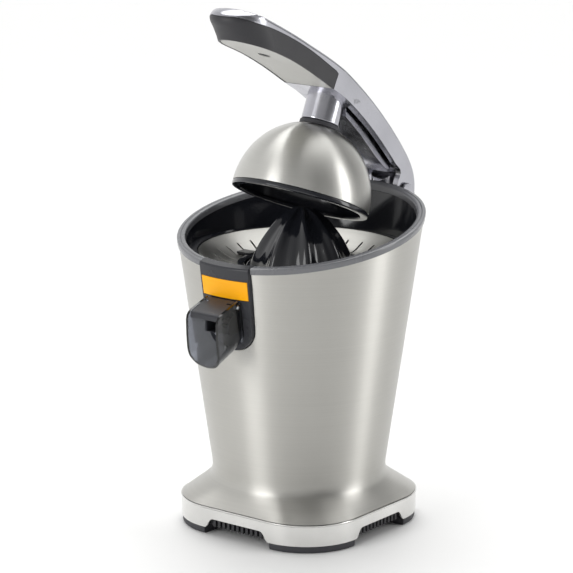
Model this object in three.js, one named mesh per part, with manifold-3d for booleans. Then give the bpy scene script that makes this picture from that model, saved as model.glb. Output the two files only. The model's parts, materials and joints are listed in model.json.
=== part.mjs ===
// Citrus press juicer with its lever raised a third of the way and everything else seated.
// Millimetres, +Z up. The origin is on the floor under the press axis.
// The spout faces -Y and the hinge is at +Y.
import * as THREE from "three";
import { mergeVertices } from "three/addons/utils/BufferGeometryUtils.js";
import Module from "manifold-3d";

const wasm = await Module();
wasm.setup();

// ---- driving dimensions ----
const GAP = 0.3; // between pieces that touch on the real machine
const BODY_Y = -3; // the body's own centre line lies in front of the press axis
const SIDES = 48; // facets round the body
const SHEET = 1.2; // steel sheet of body and dome

const TAPER_R = 86.75; // body radius at TAPER_Z
const TAPER_Z = 210;
const TAPER = 0.144; // radius gained per mm of height
const RIM_Z = 219.9; // rim height over the body's centre line
const RIM_SLOPE = 0.1758; // the rim rises 10 degrees towards the back
const RIM_DEPTH = 4.6;

const BASE_HALF = 73.6; // half the rounded square base
const BASE_CORNER = 44.4;
const FOOT_H = 5;
const BAND_TOP = 20.6;
const NOTCH_Z = 12.4; // underside of the band between the feet

const NOTCH_HALF = 21.8; // front notch in the shell, for the spout panel
const NOTCH_LOW = 142.8;
const PANEL_PROUD = 3; // how far the spout panel stands out of the shell
const PANEL_BACK = -0.9;

const DECK_Z = 158; // floor of the well, over the gearbox
const TRAY_Z = 163; // underside of the juice tray
const STRAINER_Z = 199; // strainer rim
const STRAINER_R = 74.5;

const CONE_Z = 187; // underside of the reamer's flange
const CONE_R = 40.5;
const CONE_RIBS = 8;

const HINGE_Y = 101;
const HINGE_Z = 228;
const ARM_TILT = THREE.MathUtils.degToRad(24.24); // arm angle above closed
const DOME_Y = -1.44; // centre of the dome's lower edge
const DOME_Z = 238.4;
const DOME_R = 50;
const DOME_H = 54; // height of the ellipse the dome is spun from
const BOSS_R = 14;
const ARM_HALF = 22; // half width of the arm over the grip
const NOSE_STRETCH = 1.05;

const SPOUT_Y = -90.5; // pivot of the drip-stop spout
const SPOUT_Z = 177;
const SPOUT_HALF = 14.2;
const SPOUT_WALL = 1.9;
const ACCENT_LOW = 181.6; // the accent plate's edges
const ACCENT_TOP = 195.1;

const GRIP_SCREW_Y = -43; // on the grip's underside
const GRIP_SCREW_Z = 345.5;
const GRIP_WALL = 1.5;
const GRIP_PLATE = 4;

const MOTOR = [0, -30.5]; // axes of the gear train, in plan
const IDLER = [-30, -18];
const MODULE = 1.25;
const TEETH_PINION = 12;
const TEETH_WHEEL = 40;
const TEETH_SMALL = 12;
const TEETH_OUTPUT = 44;
const SCREWS = [
  [27, 24],
  [-50, 8],
  [31, -36],
]; // gearbox screws, in plan

// ---- materials ----
function finish(color, metalness, roughness, extra = {}) {
  return new THREE.MeshStandardMaterial({ color, metalness, roughness, ...extra });
}

const brushedSteel = finish(0xc4c2bb, 1, 0.36);
const polishedSteel = finish(0xd8d7d4, 1, 0.16);
const chrome = finish(0xd9d9df, 1, 0.1);
const underGrey = finish(0xaeada8, 0.2, 0.4);
const midGrey = finish(0x6c6e73, 0, 0.25);
const darkGloss = finish(0x23262b, 0, 0.14);
const charcoal = finish(0x37373b, 0, 0.42);
const yellow = finish(0xffb60a, 0, 0.35);
const smoky = finish(0x5a5f66, 0, 0.08, { transparent: true, opacity: 0.45 });
const rubberBlack = finish(0x1c1c1e, 0, 0.75);
const nylonWhite = finish(0xe4e1d8, 0, 0.5);
const brass = finish(0xc9a24a, 1, 0.3);
const zinc = finish(0x9fa2a6, 1, 0.4);

// ---- solids ----
function solid(geometry) {
  const bare = geometry.index ? geometry.toNonIndexed() : geometry.clone();
  bare.deleteAttribute("normal");
  bare.deleteAttribute("uv");
  const merged = mergeVertices(bare, 1e-4);
  const made = new wasm.Manifold(
    new wasm.Mesh({
      numProp: 3,
      vertProperties: new Float32Array(merged.attributes.position.array),
      triVerts: new Uint32Array(merged.index.array),
    }),
  );
  if (made.volume() < 0) throw new Error("a profile runs the wrong way round");
  return made;
}

function join(...pieces) {
  return pieces.reduce((whole, piece) => whole.add(piece));
}

function cut(whole, ...tools) {
  return tools.reduce((left, tool) => left.subtract(tool), whole);
}

function shapeOf(points) {
  const flat = points.map(([x, y]) => new THREE.Vector2(x, y));
  return new THREE.Shape(THREE.ShapeUtils.isClockWise(flat) ? flat.reverse() : flat);
}

// Outline in (x, y), from z0 up to z1.
function slabZ(points, z0, z1) {
  const options = { depth: z1 - z0, bevelEnabled: false, curveSegments: 12 };
  return solid(new THREE.ExtrudeGeometry(shapeOf(points), options).translate(0, 0, z0));
}

// Outline in (y, z), from x0 to x1.
function slabX(points, x0, x1) {
  const options = { depth: x1 - x0, bevelEnabled: false };
  const geometry = new THREE.ExtrudeGeometry(shapeOf(points), options);
  geometry.rotateX(Math.PI / 2).rotateZ(Math.PI / 2);
  return solid(geometry.translate(x0, 0, 0));
}

// Outline in (x, z), from y0 to y1.
function slabY(points, y0, y1) {
  const options = { depth: y1 - y0, bevelEnabled: false };
  const geometry = new THREE.ExtrudeGeometry(shapeOf(points), options);
  return solid(geometry.rotateX(Math.PI / 2).translate(0, y1, 0));
}

function box(x0, x1, y0, y1, z0, z1) {
  const geometry = new THREE.BoxGeometry(x1 - x0, y1 - y0, z1 - z0);
  return solid(geometry.translate((x0 + x1) / 2, (y0 + y1) / 2, (z0 + z1) / 2));
}

// Profile of [radius, z] round a vertical axis through (x, y). A ring's profile is closed.
function turned(profile, segments = 48, x = 0, y = 0) {
  return solid(turnedGeometry(profile, segments).translate(x, y, 0));
}

function turnedGeometry(profile, segments) {
  const onAxis = profile[0][0] === 0 && profile[profile.length - 1][0] === 0;
  const closed = onAxis ? profile : [...profile, profile[0]];
  const points = closed.map(([r, z]) => new THREE.Vector2(r, z));
  return new THREE.LatheGeometry(points, segments).rotateX(Math.PI / 2);
}

function rodProfile(r, z0, z1) {
  return [
    [0, z0],
    [r, z0],
    [r, z1],
    [0, z1],
  ];
}

function rod(r, z0, z1, segments = 24, x = 0, y = 0) {
  return turned(rodProfile(r, z0, z1), segments, x, y);
}

// A round bar along X.
function barX(r, x0, x1, y, z, segments = 24) {
  const geometry = new THREE.CylinderGeometry(r, r, x1 - x0, segments);
  return solid(geometry.rotateZ(Math.PI / 2).translate((x0 + x1) / 2, y, z));
}

// A skin over closed rings of points that all have the same count, with flat or fanned ends.
function loft(rings) {
  const count = rings[0].length;
  const position = rings.flat(2);
  const index = [];
  for (let j = 0; j + 1 < rings.length; j++)
    for (let i = 0; i < count; i++) {
      const a = j * count + i;
      const b = j * count + ((i + 1) % count);
      index.push(a, b, b + count, a, b + count, a + count);
    }
  const [first, last] = [0, (rings.length - 1) * count];
  const capFaces = capOf(rings[0]);
  for (const [a, b, c] of capFaces) index.push(first + a, first + c, first + b);
  for (const [a, b, c] of capFaces) index.push(last + a, last + b, last + c);
  const geometry = new THREE.BufferGeometry();
  geometry.setAttribute("position", new THREE.Float32BufferAttribute(position, 3));
  geometry.setIndex(index);
  return solid(geometry);
}

// Triangles for a ring, in whichever plane it is widest.
function capOf(ring) {
  const size = new THREE.Box3().setFromPoints(ring.map((p) => new THREE.Vector3(...p)));
  const alongX = size.max.x - size.min.x < size.max.z - size.min.z;
  const flat = ring.map(([x, y, z]) => (alongX ? new THREE.Vector2(y, z) : new THREE.Vector2(x, y)));
  return THREE.ShapeUtils.triangulateShape(flat, []);
}

// ---- body surfaces ----
function bodyR(z) {
  return TAPER_R + TAPER * (z - TAPER_Z);
}

function angles() {
  return Array.from({ length: SIDES }, (_, i) => (i * 2 * Math.PI) / SIDES);
}

// Circle on the body's taper at one height, `off` outside the shell.
function levelRing(off, z) {
  const r = bodyR(z) + off;
  return angles().map((t) => [r * Math.cos(t), BODY_Y + r * Math.sin(t), z]);
}

// Where the taper, `off` outside the shell, meets the plane `drop` below the rim.
function planeRing(off, drop) {
  return angles().map((t) => {
    const level = RIM_Z - drop;
    const r =
      (bodyR(level) + off) / (1 - TAPER * RIM_SLOPE * Math.sin(t));
    return [r * Math.cos(t), BODY_Y + r * Math.sin(t), level + RIM_SLOPE * r * Math.sin(t)];
  });
}

function tapered(off, z0, drop) {
  return loft([levelRing(off, z0), planeRing(off, drop)]);
}

// Distance from the centre to a rounded square's edge in direction t.
function squareR(t, half, corner) {
  const [c, s] = [Math.abs(Math.cos(t)), Math.abs(Math.sin(t))];
  const core = half - corner;
  if (half * s <= core * c) return half / c;
  if (half * c <= core * s) return half / s;
  const along = core * (c + s);
  return along + Math.sqrt(Math.max(0, along * along - 2 * core * core + corner * corner));
}

function squareRing(half, z, blend = 1, offR = 0) {
  const corner = BASE_CORNER - (BASE_HALF - half);
  const round = bodyR(z) + offR;
  return angles().map((t) => {
    const r = (1 - blend) * round + blend * squareR(t, half, corner);
    return [r * Math.cos(t), BODY_Y + r * Math.sin(t), z];
  });
}

function squareSlab(half, z0, z1) {
  return loft([squareRing(half, z0), squareRing(half, z1)]);
}

// ---- housing ----
// The skirt: how far each level has gone from round (0) to the rounded square (1).
const SKIRT = [
  [21.2, 1],
  [26.2, 0.7],
  [31, 0.38],
  [35, 0.15],
  [39.5, 0.04],
  [46, 0],
];

function shellSolid(off) {
  const skirt = SKIRT.map(([z, blend]) => squareRing(BASE_HALF - 0.3 + off, z, blend, off));
  return loft([...skirt, planeRing(off, RIM_DEPTH + GAP)]);
}

function frontNotch(half, low, deep = -50) {
  const round = 17;
  const points = [[half + 0.4, 260]];
  points.push([half, 190], [half - 1, low + round]);
  for (let i = 1; i < 6; i++) {
    const t = (i * Math.PI) / 12;
    points.push([half - 1 - round + round * Math.cos(t), low + round - round * Math.sin(t)]);
  }
  points.push([half - 1 - round, low]);
  const mirrored = points.map(([x, z]) => [-x, z]).reverse();
  return slabY([...points, ...mirrored], -130, deep);
}

function outerShell() {
  const inside = loft([
    ...SKIRT.map(([z, blend]) => squareRing(BASE_HALF - 0.3 - SHEET, z, blend, -SHEET)),
    planeRing(-SHEET, -20),
  ]);
  const under = squareSlab(BASE_HALF - 2, 15, 21.3);
  const gland = rodY(5.6, 50, 75, 0, 54);
  return cut(shellSolid(0), inside, under, frontNotch(NOTCH_HALF, NOTCH_LOW), gland);
}

function rodY(r, y0, y1, x, z, segments = 24) {
  const geometry = new THREE.CylinderGeometry(r, r, y1 - y0, segments);
  return solid(geometry.translate(x, (y0 + y1) / 2, z));
}

function rimRing() {
  const bar = loft([
    planeRing(0.9, RIM_DEPTH),
    planeRing(0.9, 0.6),
    planeRing(0.3, 0),
  ]);
  const bore = loft([planeRing(-5.4, RIM_DEPTH + 4), planeRing(-5.4, 0.8), planeRing(-4.6, -0.6)]);
  return cut(bar, bore, frontNotch(NOTCH_HALF, NOTCH_LOW));
}

function wellLiner() {
  const outside = loft([levelRing(-3.2, DECK_Z), planeRing(-3.2, RIM_DEPTH + GAP)]);
  const inside = loft([levelRing(-5, DECK_Z + 2.5), planeRing(-5, -4)]);
  const shaftHole = rod(8.3, DECK_Z - 1, DECK_Z + 4);
  const posts = SCREWS.map(([x, y]) => rod(4.5, 153 + GAP, DECK_Z + 1, 16, x, y));
  const bores = SCREWS.map(([x, y]) => rod(1.7, 150, DECK_Z - 0.6, 12, x, y));
  const basin = cut(outside, inside, shaftHole, frontNotch(NOTCH_HALF, NOTCH_LOW));
  return cut(join(basin, ...posts), ...bores);
}

// Outline of the opening between two feet, along one side of the base.
function betweenFeet() {
  const half = [
    [21, NOTCH_Z],
    [22.6, 12],
    [24, 10.9],
    [25.4, 8.9],
    [26.8, 6.6],
    [28, 5.4],
    [28.4, 4],
    [28.4, -2],
  ];
  return [...half, ...half.map(([x, z]) => [-x, z]).reverse()];
}

function baseBand() {
  const wall = squareSlab(BASE_HALF, FOOT_H + GAP, BAND_TOP);
  const lip = loft([
    squareRing(BASE_HALF, 19.6),
    squareRing(BASE_HALF + 0.6, 20),
    squareRing(BASE_HALF + 0.6, 20.9),
  ]);
  const bore = squareSlab(BASE_HALF - 1.6, 0, 30);
  const acrossY = slabY(betweenFeet(), -110, 110);
  const acrossX = slabX(betweenFeet().map(([t, z]) => [BODY_Y + t, z]), -110, 110);
  return cut(join(wall, lip), bore, acrossY, acrossX);
}

// Boxes that hold one corner of the base each.
function cornerBox(sx, sy, inner, z0, z1) {
  const xs = [sx * inner, sx * 100].sort((a, b) => a - b);
  const ys = [sy * inner, sy * 100].sort((a, b) => a - b);
  return box(xs[0], xs[1], BODY_Y + ys[0], BODY_Y + ys[1], z0, z1);
}

const CORNERS = {
  foot_front_right: [1, -1],
  foot_front_left: [-1, -1],
  foot_rear_right: [1, 1],
  foot_rear_left: [-1, 1],
};

function foot([sx, sy]) {
  const body = loft([squareRing(71.8, 0), squareRing(72.8, 1), squareRing(72.8, FOOT_H)]);
  const hollow = squareSlab(58, -1, FOOT_H + 1);
  return cut(body, hollow).intersect(cornerBox(sx, sy, 29.5, -1, FOOT_H + 1));
}

function basePlate() {
  const plate = squareSlab(69.6, 8.6, 11.6);
  const pads = Object.values(CORNERS).map(([sx, sy]) =>
    cut(squareSlab(71.6, FOOT_H + GAP, 9), squareSlab(60, 0, 20)).intersect(
      cornerBox(sx, sy, 29.5, 0, 12),
    ),
  );
  const lower = cut(squareSlab(69.6, 6.6, 9), squareSlab(67.4, 0, 20));
  const ribs = [];
  const pitch = 6.2;
  for (let i = -3; i <= 3; i++) {
    const t = i * pitch;
    ribs.push(box(t - 1.2, t + 1.2, BODY_Y - 71.7, BODY_Y - 69, 6.6, 11.6));
    ribs.push(box(t - 1.2, t + 1.2, BODY_Y + 69, BODY_Y + 71.7, 6.6, 11.6));
    ribs.push(box(-71.7, -69, BODY_Y + t - 1.2, BODY_Y + t + 1.2, 6.6, 11.6));
    ribs.push(box(69, 71.7, BODY_Y + t - 1.2, BODY_Y + t + 1.2, 6.6, 11.6));
  }
  const slots = [-20, -10, 0, 10, 20].map((x) => box(x - 1.5, x + 1.5, 14, 44, 5, 14));
  return cut(join(plate, lower, ...pads, ...ribs), ...slots);
}

function cordGland() {
  const body = join(rodY(5.2, 57.5, 70, 0, 54), rodY(7, 62.8, 64.8, 0, 54));
  return cut(body, rodY(3.2, 66, 71, 0, 54, 16));
}

// ---- hinge ----
function hingePost() {
  const top = 12.4; // round over the pin, inside the arm's rear wall
  const half = 10.2;
  const outline = [
    [HINGE_Y - half, 186],
    [HINGE_Y + half - 4, 186],
    [HINGE_Y + half, 196],
  ];
  for (let i = 0; i <= 8; i++) {
    const t = Math.asin(half / top) * (1 - i / 4);
    outline.push([HINGE_Y + top * Math.sin(t), HINGE_Z + top * Math.cos(t)]);
  }
  const side = slabX(outline, -12, 12);
  const column = rod(half, 180, 250, 32, 0, HINGE_Y).intersect(side);
  const web = slabX(
    [
      [70, 176],
      [80, 172],
      [100, 190],
      [100, 222],
      [96, 227],
      [70, 218],
    ],
    -9,
    9,
  );
  const body = cut(join(column, web), tapered(GAP, 120, RIM_DEPTH + 3));
  return cut(body, barX(3.25, -30, 30, HINGE_Y, HINGE_Z));
}

// ---- arm ----
// Crest of the arm over its centre line, from the nose back and down to behind the pin.
const CREST = [
  [-95, 380],
  [-91, 382],
  [-84, 383],
  [-71, 380.8],
  [-60, 376.1],
  [-45.6, 369.3],
  [-30.7, 362],
  [-15.4, 353.8],
  [6.4, 342],
  [24.2, 331.2],
  [40.2, 319.4],
  [57.6, 305.3],
  [75.1, 289.7],
  [88.4, 276.6],
  [99.2, 265],
  [108.2, 253.7],
  [113.8, 245],
  [116.2, 238],
  [115.8, 231],
];
// Cheeks round the pin, then the near wall's lower edge, the grip's underside and back to the nose.
const UNDER = [
  [113.5, 223.6],
  [108.6, 219.4],
  [101, 217.6],
  [94, 220.4],
  [91.2, 227],
  [92, 234],
  [95.6, 242],
  [83.5, 255.9],
  [64.3, 275.2],
  [43.2, 293.6],
  [29.4, 304.6],
  [6.2, 318.6],
  [-20.1, 334],
  [-39.8, 344.1],
  [-62.2, 353.6],
  [-90, 364.2],
];
// Half width of the arm beside each crest point, then beside each lower point.
function armHalf(y, z) {
  const along = THREE.MathUtils.clamp((330 - z) / 70, 0, 1);
  return THREE.MathUtils.lerp(ARM_HALF, 18, y > 0 ? along : 0);
}

// The full outside of the arm: side outlines lofted across, sinking at both edges of the crest.
function armOutside() {
  const across = [
    [-1, 5],
    [-0.93, 2.8],
    [-0.7, 1.5],
    [-0.35, 0.4],
    [0, 0],
    [0.35, 0.4],
    [0.7, 1.5],
    [0.93, 2.8],
    [1, 5],
  ];
  const rings = across.map(([f, sink]) => {
    const crest = CREST.map(([y, z], i) => {
      const [ya, za] = CREST[Math.max(0, i - 1)];
      const [yb, zb] = CREST[Math.min(CREST.length - 1, i + 1)];
      const length = Math.hypot(yb - ya, zb - za);
      const inward = [(zb - za) / length, -(yb - ya) / length];
      return [f * armHalf(y, z), y + inward[0] * sink, z + inward[1] * sink];
    });
    const under = UNDER.map(([y, z]) => [f * armHalf(y, z), y, z]);
    return [...crest, ...under].reverse();
  });
  return loft(rings).intersect(nosePlan(0));
}

// The nose at each height: how far forward it reaches, and how much narrower than the arm it is.
const NOSE = [
  [200, -24.3, 0],
  [358, -81.2, 0],
  [364, -83.9, 0],
  [370, -87.4, 0],
  [375, -90, 0],
  [377.2, -90, 0.7],
  [379.2, -88.8, 2.1],
  [381, -86.4, 4.6],
  [382.4, -82.6, 8.5],
  [383.4, -76, 14],
  [400, -76, 14],
];

// Plan of the arm with its round nose, `inset` inside the outside.
function nosePlan(inset) {
  const rings = NOSE.map(([z, front, narrow]) => {
    const half = ARM_HALF - inset - narrow;
    const tip = front + inset;
    const arc = Array.from({ length: 13 }, (_, i) => {
      const t = (i * Math.PI) / 12;
      return [half * Math.cos(t), tip + NOSE_STRETCH * half * (1 - Math.sin(t)), z];
    });
    return [[-half, 300, z], ...arc.reverse(), [half, 300, z]];
  });
  return loft(rings);
}

// Side outline of everything the grip replaces: below the crown, ahead of a slanted end.
function gripZone(grow) {
  const top = [
    [-140, 381.4],
    [-86, 378.2],
    [-78, 374.6],
    [-62.2, 368.9],
    [-39.8, 359.3],
    [-20.1, 349.2],
    [11.6, 329.6],
  ];
  const raised = top.map(([y, z]) => [y, z + grow]);
  const rear = [
    [13.6 + grow, 327.4],
    [5 + grow, 312],
    [-10, 300],
    [-140, 300],
  ];
  return slabX([...raised, ...rear], -40, 40);
}

// The grip's underside, `lift` above where it is, and everything from there to height z.
function gripSide(lift, z) {
  const line = [
    [-140, 383],
    [-90, 364.2],
    [-62.2, 353.6],
    [-39.8, 344.1],
    [-20.1, 334],
    [6.2, 318.6],
    [40, 298],
  ].map(([y, height]) => [y, height + lift]);
  return slabX([...line, [40, z], [-140, z]], -40, 40);
}

function gripFloor(lift) {
  return gripSide(lift, 200);
}

// Places what is made round the Z axis square on the grip's underside, at its screw.
function onGrip(profile, segments) {
  const geometry = turnedGeometry(profile, segments).rotateX(-ARM_TILT);
  return solid(geometry.translate(0, GRIP_SCREW_Y, GRIP_SCREW_Z));
}

function gripRod(r, z0, z1, segments = 16) {
  return onGrip(rodProfile(r, z0, z1), segments);
}

function tilted(geometry) {
  return solid(geometry.rotateX(-ARM_TILT).translate(0, DOME_Y, DOME_Z));
}

function tiltedTurn(profile, segments = 48) {
  return tilted(turnedGeometry(profile, segments));
}

function tiltedRod(r, z0, z1, segments = 32) {
  return tiltedTurn(rodProfile(r, z0, z1), segments);
}

function bossFlare(grow = 0) {
  const profile = [
    [0, 60],
    [BOSS_R + grow, 60],
    [BOSS_R + grow, 68],
    [15.5 + grow, 71],
    [19 + grow, 74.5],
    [26 + grow, 78],
    [26 + grow, 92],
    [0, 92],
  ];
  return tiltedTurn(profile, 32);
}

function armCasting() {
  const outside = armOutside();
  const flare = bossFlare().intersect(outside);
  const boss = tiltedRod(BOSS_R, 55.3, 80, 32);
  const channel = slabX(
    [
      [36, 316],
      [56, 299.6],
      [72.5, 284],
      [85.5, 271],
      [95.6, 259.6],
      [104.4, 248.6],
      [110.4, 241],
      [113, 237.4],
      [113, 233.4],
      [130, 233.4],
      [130, 200],
      [70, 200],
      [70, 258],
      [36, 290],
    ],
    -13.6,
    13.6,
  );
  const crownPart = cut(outside, gripZone(GAP), channel);
  const post = cut(gripRod(4, -5, 30).intersect(outside), gripFloor(GRIP_PLATE + 0.4));
  const pinHole = barX(3.25, -30, 30, HINGE_Y, HINGE_Z);
  const domeBore = tiltedRod(3.3, 50, 72, 24);
  const screwBore = gripRod(1.4, -5, 16, 12);
  return cut(join(crownPart, flare, boss, post), domeBore, pinHole, screwBore);
}

function gripBand() {
  const shape = cut(armOutside().intersect(gripZone(0)), gripFloor(0));
  return cut(shape, nosePlan(GRIP_WALL), bossFlare(GAP));
}

function gripUnderplate() {
  const slab = armOutside().intersect(nosePlan(GRIP_WALL + GAP)).intersect(gripZone(0));
  const plate = cut(slab, gripSide(GRIP_PLATE, 420), gripFloor(0.2));
  return cut(plate, bossFlare(GAP), gripRod(2, -10, 20), gripRod(4.6, -10, 1.9, 20));
}

function gripScrew() {
  return join(gripRod(4.2, 0.4, 1.6, 20), gripRod(1.1, 1.2, 13, 12));
}

function armCore() {
  const outline = [
    [38, 312],
    [38, 291.8],
    [55.4, 276.4],
    [66, 265.6],
    [75.5, 255.8],
    [86, 247],
    [90.5, 242.8],
    [95, 251],
    [94, 259.8],
    [85, 269.6],
    [72, 282.6],
    [55.6, 298.2],
  ];
  return cut(slabX(outline, -10.6, 10.6), bossFlare(GAP));
}

function hingePin() {
  return barX(3, -18.6, 18.6, HINGE_Y, HINGE_Z);
}

function pinCap(side) {
  const xs = [side * 18.9, side * 21].sort((a, b) => a - b);
  return barX(6.2, xs[0], xs[1], HINGE_Y, HINGE_Z, 28);
}

// ---- dome ----
// Points of a quarter ellipse from its rim up to where it is cut off flat.
function ellipse(a, b, flatR, steps) {
  const end = Math.acos(flatR / a);
  return Array.from({ length: steps + 1 }, (_, i) => {
    const t = (end * i) / steps;
    return [a * Math.cos(t), b * Math.sin(t)];
  });
}

function pressDome() {
  const outer = ellipse(DOME_R, DOME_H, 15, 8);
  const inner = ellipse(DOME_R - SHEET, DOME_H - SHEET, 12, 6).reverse();
  const [topOut, topIn] = [outer[outer.length - 1][1], inner[0][1]];
  return tiltedTurn([...outer, [3.4, topOut], [3.4, topIn], ...inner], 36);
}

function domeLiner() {
  const outer = ellipse(48.5, 52, 12, 5);
  const inner = ellipse(46, 47.6, 4, 7).reverse();
  const topOut = outer[outer.length - 1][1];
  const rim = [
    [44.4, -1.6],
    [44.4, -3.65],
    [49.4, -3.65],
    [50, -3],
    [50, -0.3],
    [48.5, -0.3],
  ];
  const shell = tiltedTurn([...outer, [3.4, topOut], [3.4, inner[0][1]], ...inner, ...rim], 32);
  const fins = [];
  const hollow = tiltedTurn([[0, 2], [43, 2], ...ellipse(43, 44.6, 4, 4).slice(1), [0, 44.4]], 16);
  const filled = tiltedTurn([[0, 2], [47, 2], ...ellipse(47, 48.6, 4, 4).slice(1), [0, 48.4]], 16);
  for (let i = 0; i < 4; i++) {
    const blade = new THREE.BoxGeometry(30, 2, 34).translate(34, 0, 20).rotateZ((i * Math.PI) / 2);
    fins.push(cut(tilted(blade).intersect(filled), hollow));
  }
  return join(shell, ...fins);
}

function domeScrew() {
  return tiltedTurn([
    [0, 43.6],
    [6, 43.6],
    [6.6, 44.6],
    [6.6, 46.6],
    [3, 46.6],
    [3, 69],
    [0, 69],
  ], 16);
}

function domeCollar() {
  const low = DOME_H * Math.sqrt(1 - (15 / DOME_R) ** 2) + GAP;
  return tiltedTurn([
    [3.4, low],
    [14.6, low],
    [14.6, 54.4],
    [14, 55],
    [3.4, 55],
  ], 24);
}

// ---- press cone, strainer and tray ----
const OGIVE = [
  [37.5, 189.6],
  [36.4, 193],
  [33.4, 200],
  [29, 208],
  [22.6, 217],
  [15, 225],
  [7, 230],
];

function reamerCone() {
  const flangeTop = CONE_Z + 2.6;
  const flangeProfile = [
    [0, CONE_Z],
    [CONE_R, CONE_Z],
    [CONE_R, flangeTop - 1],
    [CONE_R - 2, flangeTop],
    [0, flangeTop],
  ];
  const flange = turned(flangeProfile, 32);
  const full = turned([[0, 188], [37.5, 188], ...OGIVE, [0, 231.4]], 24);
  // The valleys lie 4 mm under the ridge line.
  const valley = OGIVE.map(([r, z]) => [Math.max(r - 4, 3), z - 1]);
  const core = turned([[0, 188], [33.5, 188], ...valley, [0, 229]], 16);
  const blades = [];
  for (let i = 0; i < CONE_RIBS; i++) {
    const blade = new THREE.BoxGeometry(42, 3, 60).translate(21, 0, 210);
    blades.push(solid(blade.rotateZ((i * 2 * Math.PI) / CONE_RIBS)).intersect(full));
  }
  const hollowProfile = [
    [0, 180],
    [34, 180],
    [30.5, 190],
    [27, 198],
    [22.5, 206],
    [18, 212.6],
    [10.2, 212.6],
    [10.2, 189],
    [0, 189],
  ];
  const hollow = turned(hollowProfile, 20);
  const socket = turned([[0, 185], [5.1, 185], [5.1, 212.4], [0, 212.4]], 6);
  return cut(join(flange, core, ...blades), hollow, socket);
}

function strainer() {
  const sheet = turned([
    [74.5, 199.4],
    [73.2, 200.2],
    [56, 189],
    [44, 187.8],
    [44, 186.8],
    [56.4, 187.9],
    [72.8, 198.4],
    [74.5, 198.4],
  ], 40);
  const slots = [];
  for (let i = 0; i < 16; i++) {
    const slot = new THREE.BoxGeometry(13, 1.5, 14).translate(58, 0, 189);
    slots.push(solid(slot.rotateZ(((i + 0.5) * 2 * Math.PI) / 16)));
  }
  return cut(sheet, ...slots);
}

function strainerHub() {
  const ringProfile = [
    [41.2, 186.2],
    [43.6, 186.2],
    [43.6, 188.1],
    [47, 188.5],
    [47, 189.9],
    [46.2, 190.4],
    [42, 190.4],
    [41.2, 189.6],
  ];
  const ring = turned(ringProfile, 32);
  const tab = box(-56, -44, -4.5, 4.5, 189.6, 191.2);
  return join(ring, cut(tab, turned([[0, 180], [42, 180], [42, 200], [0, 200]], 32)));
}

function juiceTray() {
  const outside = loft([levelRing(-8.6, TRAY_Z), levelRing(-5.4, TRAY_Z + 5), levelRing(-5.4, 200.4)]);
  const cavity = turned([
    [0, 170.6],
    [16, 170.4],
    [66, 166.6],
    [69.6, 170],
    [72.6, 194],
    [72.6, 197.6],
    [75, 197.6],
    [75, 210],
    [0, 210],
  ], 36);
  const chimney = cut(rod(15.2, TRAY_Z, 191, 32), rod(12, 160, 195, 32));
  const infillOuter = loft([levelRing(-1.2, 166), levelRing(-1.2, 199.5)]);
  const infillInner = loft([levelRing(-5.8, 160), levelRing(-5.8, 206)]);
  const infill = cut(infillOuter, infillInner)
    .intersect(box(-20.4, 20.4, -100, -50, 160, 199.4));
  const outlet = box(-9, 9, -100, -62, 167.2, 177);
  const bore = rod(12, 150, 172, 32);
  return cut(join(cut(outside, cavity), chimney, infill), outlet, bore);
}

// ---- spout ----
function panelOutline(half, low, top) {
  const round = 16.6;
  const points = [[half + 0.2, top], [half, 190], [half - 1, low + round]];
  for (let i = 1; i < 6; i++) {
    const t = (i * Math.PI) / 12;
    points.push([half - 1 - round + round * Math.cos(t), low + round - round * Math.sin(t)]);
  }
  points.push([half - 1 - round, low]);
  return [...points, ...points.map(([x, z]) => [-x, z]).reverse()];
}

function frontPanel() {
  const skin = cut(
    loft([levelRing(PANEL_PROUD, 130), planeRing(PANEL_PROUD, 1), planeRing(PANEL_PROUD - 1, 0)]),
    loft([levelRing(PANEL_BACK, 120), planeRing(PANEL_BACK, -6)]),
  );
  const plate = skin.intersect(slabY(panelOutline(21.4, 143.4, 250), -130, -50));
  const lipRing = cut(
    loft([planeRing(PANEL_BACK + 1, RIM_DEPTH), planeRing(PANEL_BACK + 1, 0)]),
    loft([planeRing(-5.4, 9), planeRing(-5.4, 0.8), planeRing(-4.6, -0.6)]),
  );
  const lip = lipRing.intersect(box(-21.4, 21.4, -130, -50, 150, 260));
  const ring = cut(tapered(PANEL_PROUD + 5, 130, -8), tapered(PANEL_PROUD - 1.5, 120, -9));
  const recess = ring.intersect(accentOutline(GAP));
  const earOutline = [
    [-84, 171],
    [-84, 179.2],
    [-91, 179.4],
    [-93.8, 178.4],
    [-93.8, 174.6],
    [-90, 171],
  ];
  const ears = [slabX(earOutline, 8.2, 10.2), slabX(earOutline, -10.2, -8.2)];
  const overTongue = [
    [-100, 152],
    [-100, 163],
    [-92, 171.5],
    [-80, 180],
    [-80, 200],
    [-110, 200],
    [-110, 152],
  ];
  const gutter = [
    [-70, 160.5],
    [-99, 158.2],
    [-99, 180],
    [-70, 180],
  ];
  const tongue = cut(
    box(-10, 10, -97, -82, 158, 171),
    slabX(overTongue, -20, 20),
    slabX(gutter, -8.4, 8.4),
  );
  const outlet = box(-8.4, 8.4, -110, -60, 160.6, 176);
  const pinHoles = barX(1.75, -20, 20, SPOUT_Y, SPOUT_Z, 16);
  const throat = tapered(PANEL_BACK, 120, -6);
  const fittings = cut(join(...ears, tongue), throat);
  return cut(join(plate, lip, fittings), recess, outlet, pinHoles);
}

// Everything in front of the accent plate's outline, `grow` larger all round.
function accentOutline(grow) {
  const outline = [
    [-19.9 - grow, ACCENT_LOW - grow],
    [19.9 + grow, ACCENT_LOW - grow],
    [20.1 + grow, ACCENT_TOP + grow],
    [-20.1 - grow, ACCENT_TOP + grow],
  ];
  return slabY(outline, -130, -50);
}

function accentPlate() {
  const skin = cut(tapered(PANEL_PROUD + 0.1, 130, -8), tapered(PANEL_PROUD - 1.2, 120, -9));
  return skin.intersect(accentOutline(0));
}

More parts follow.
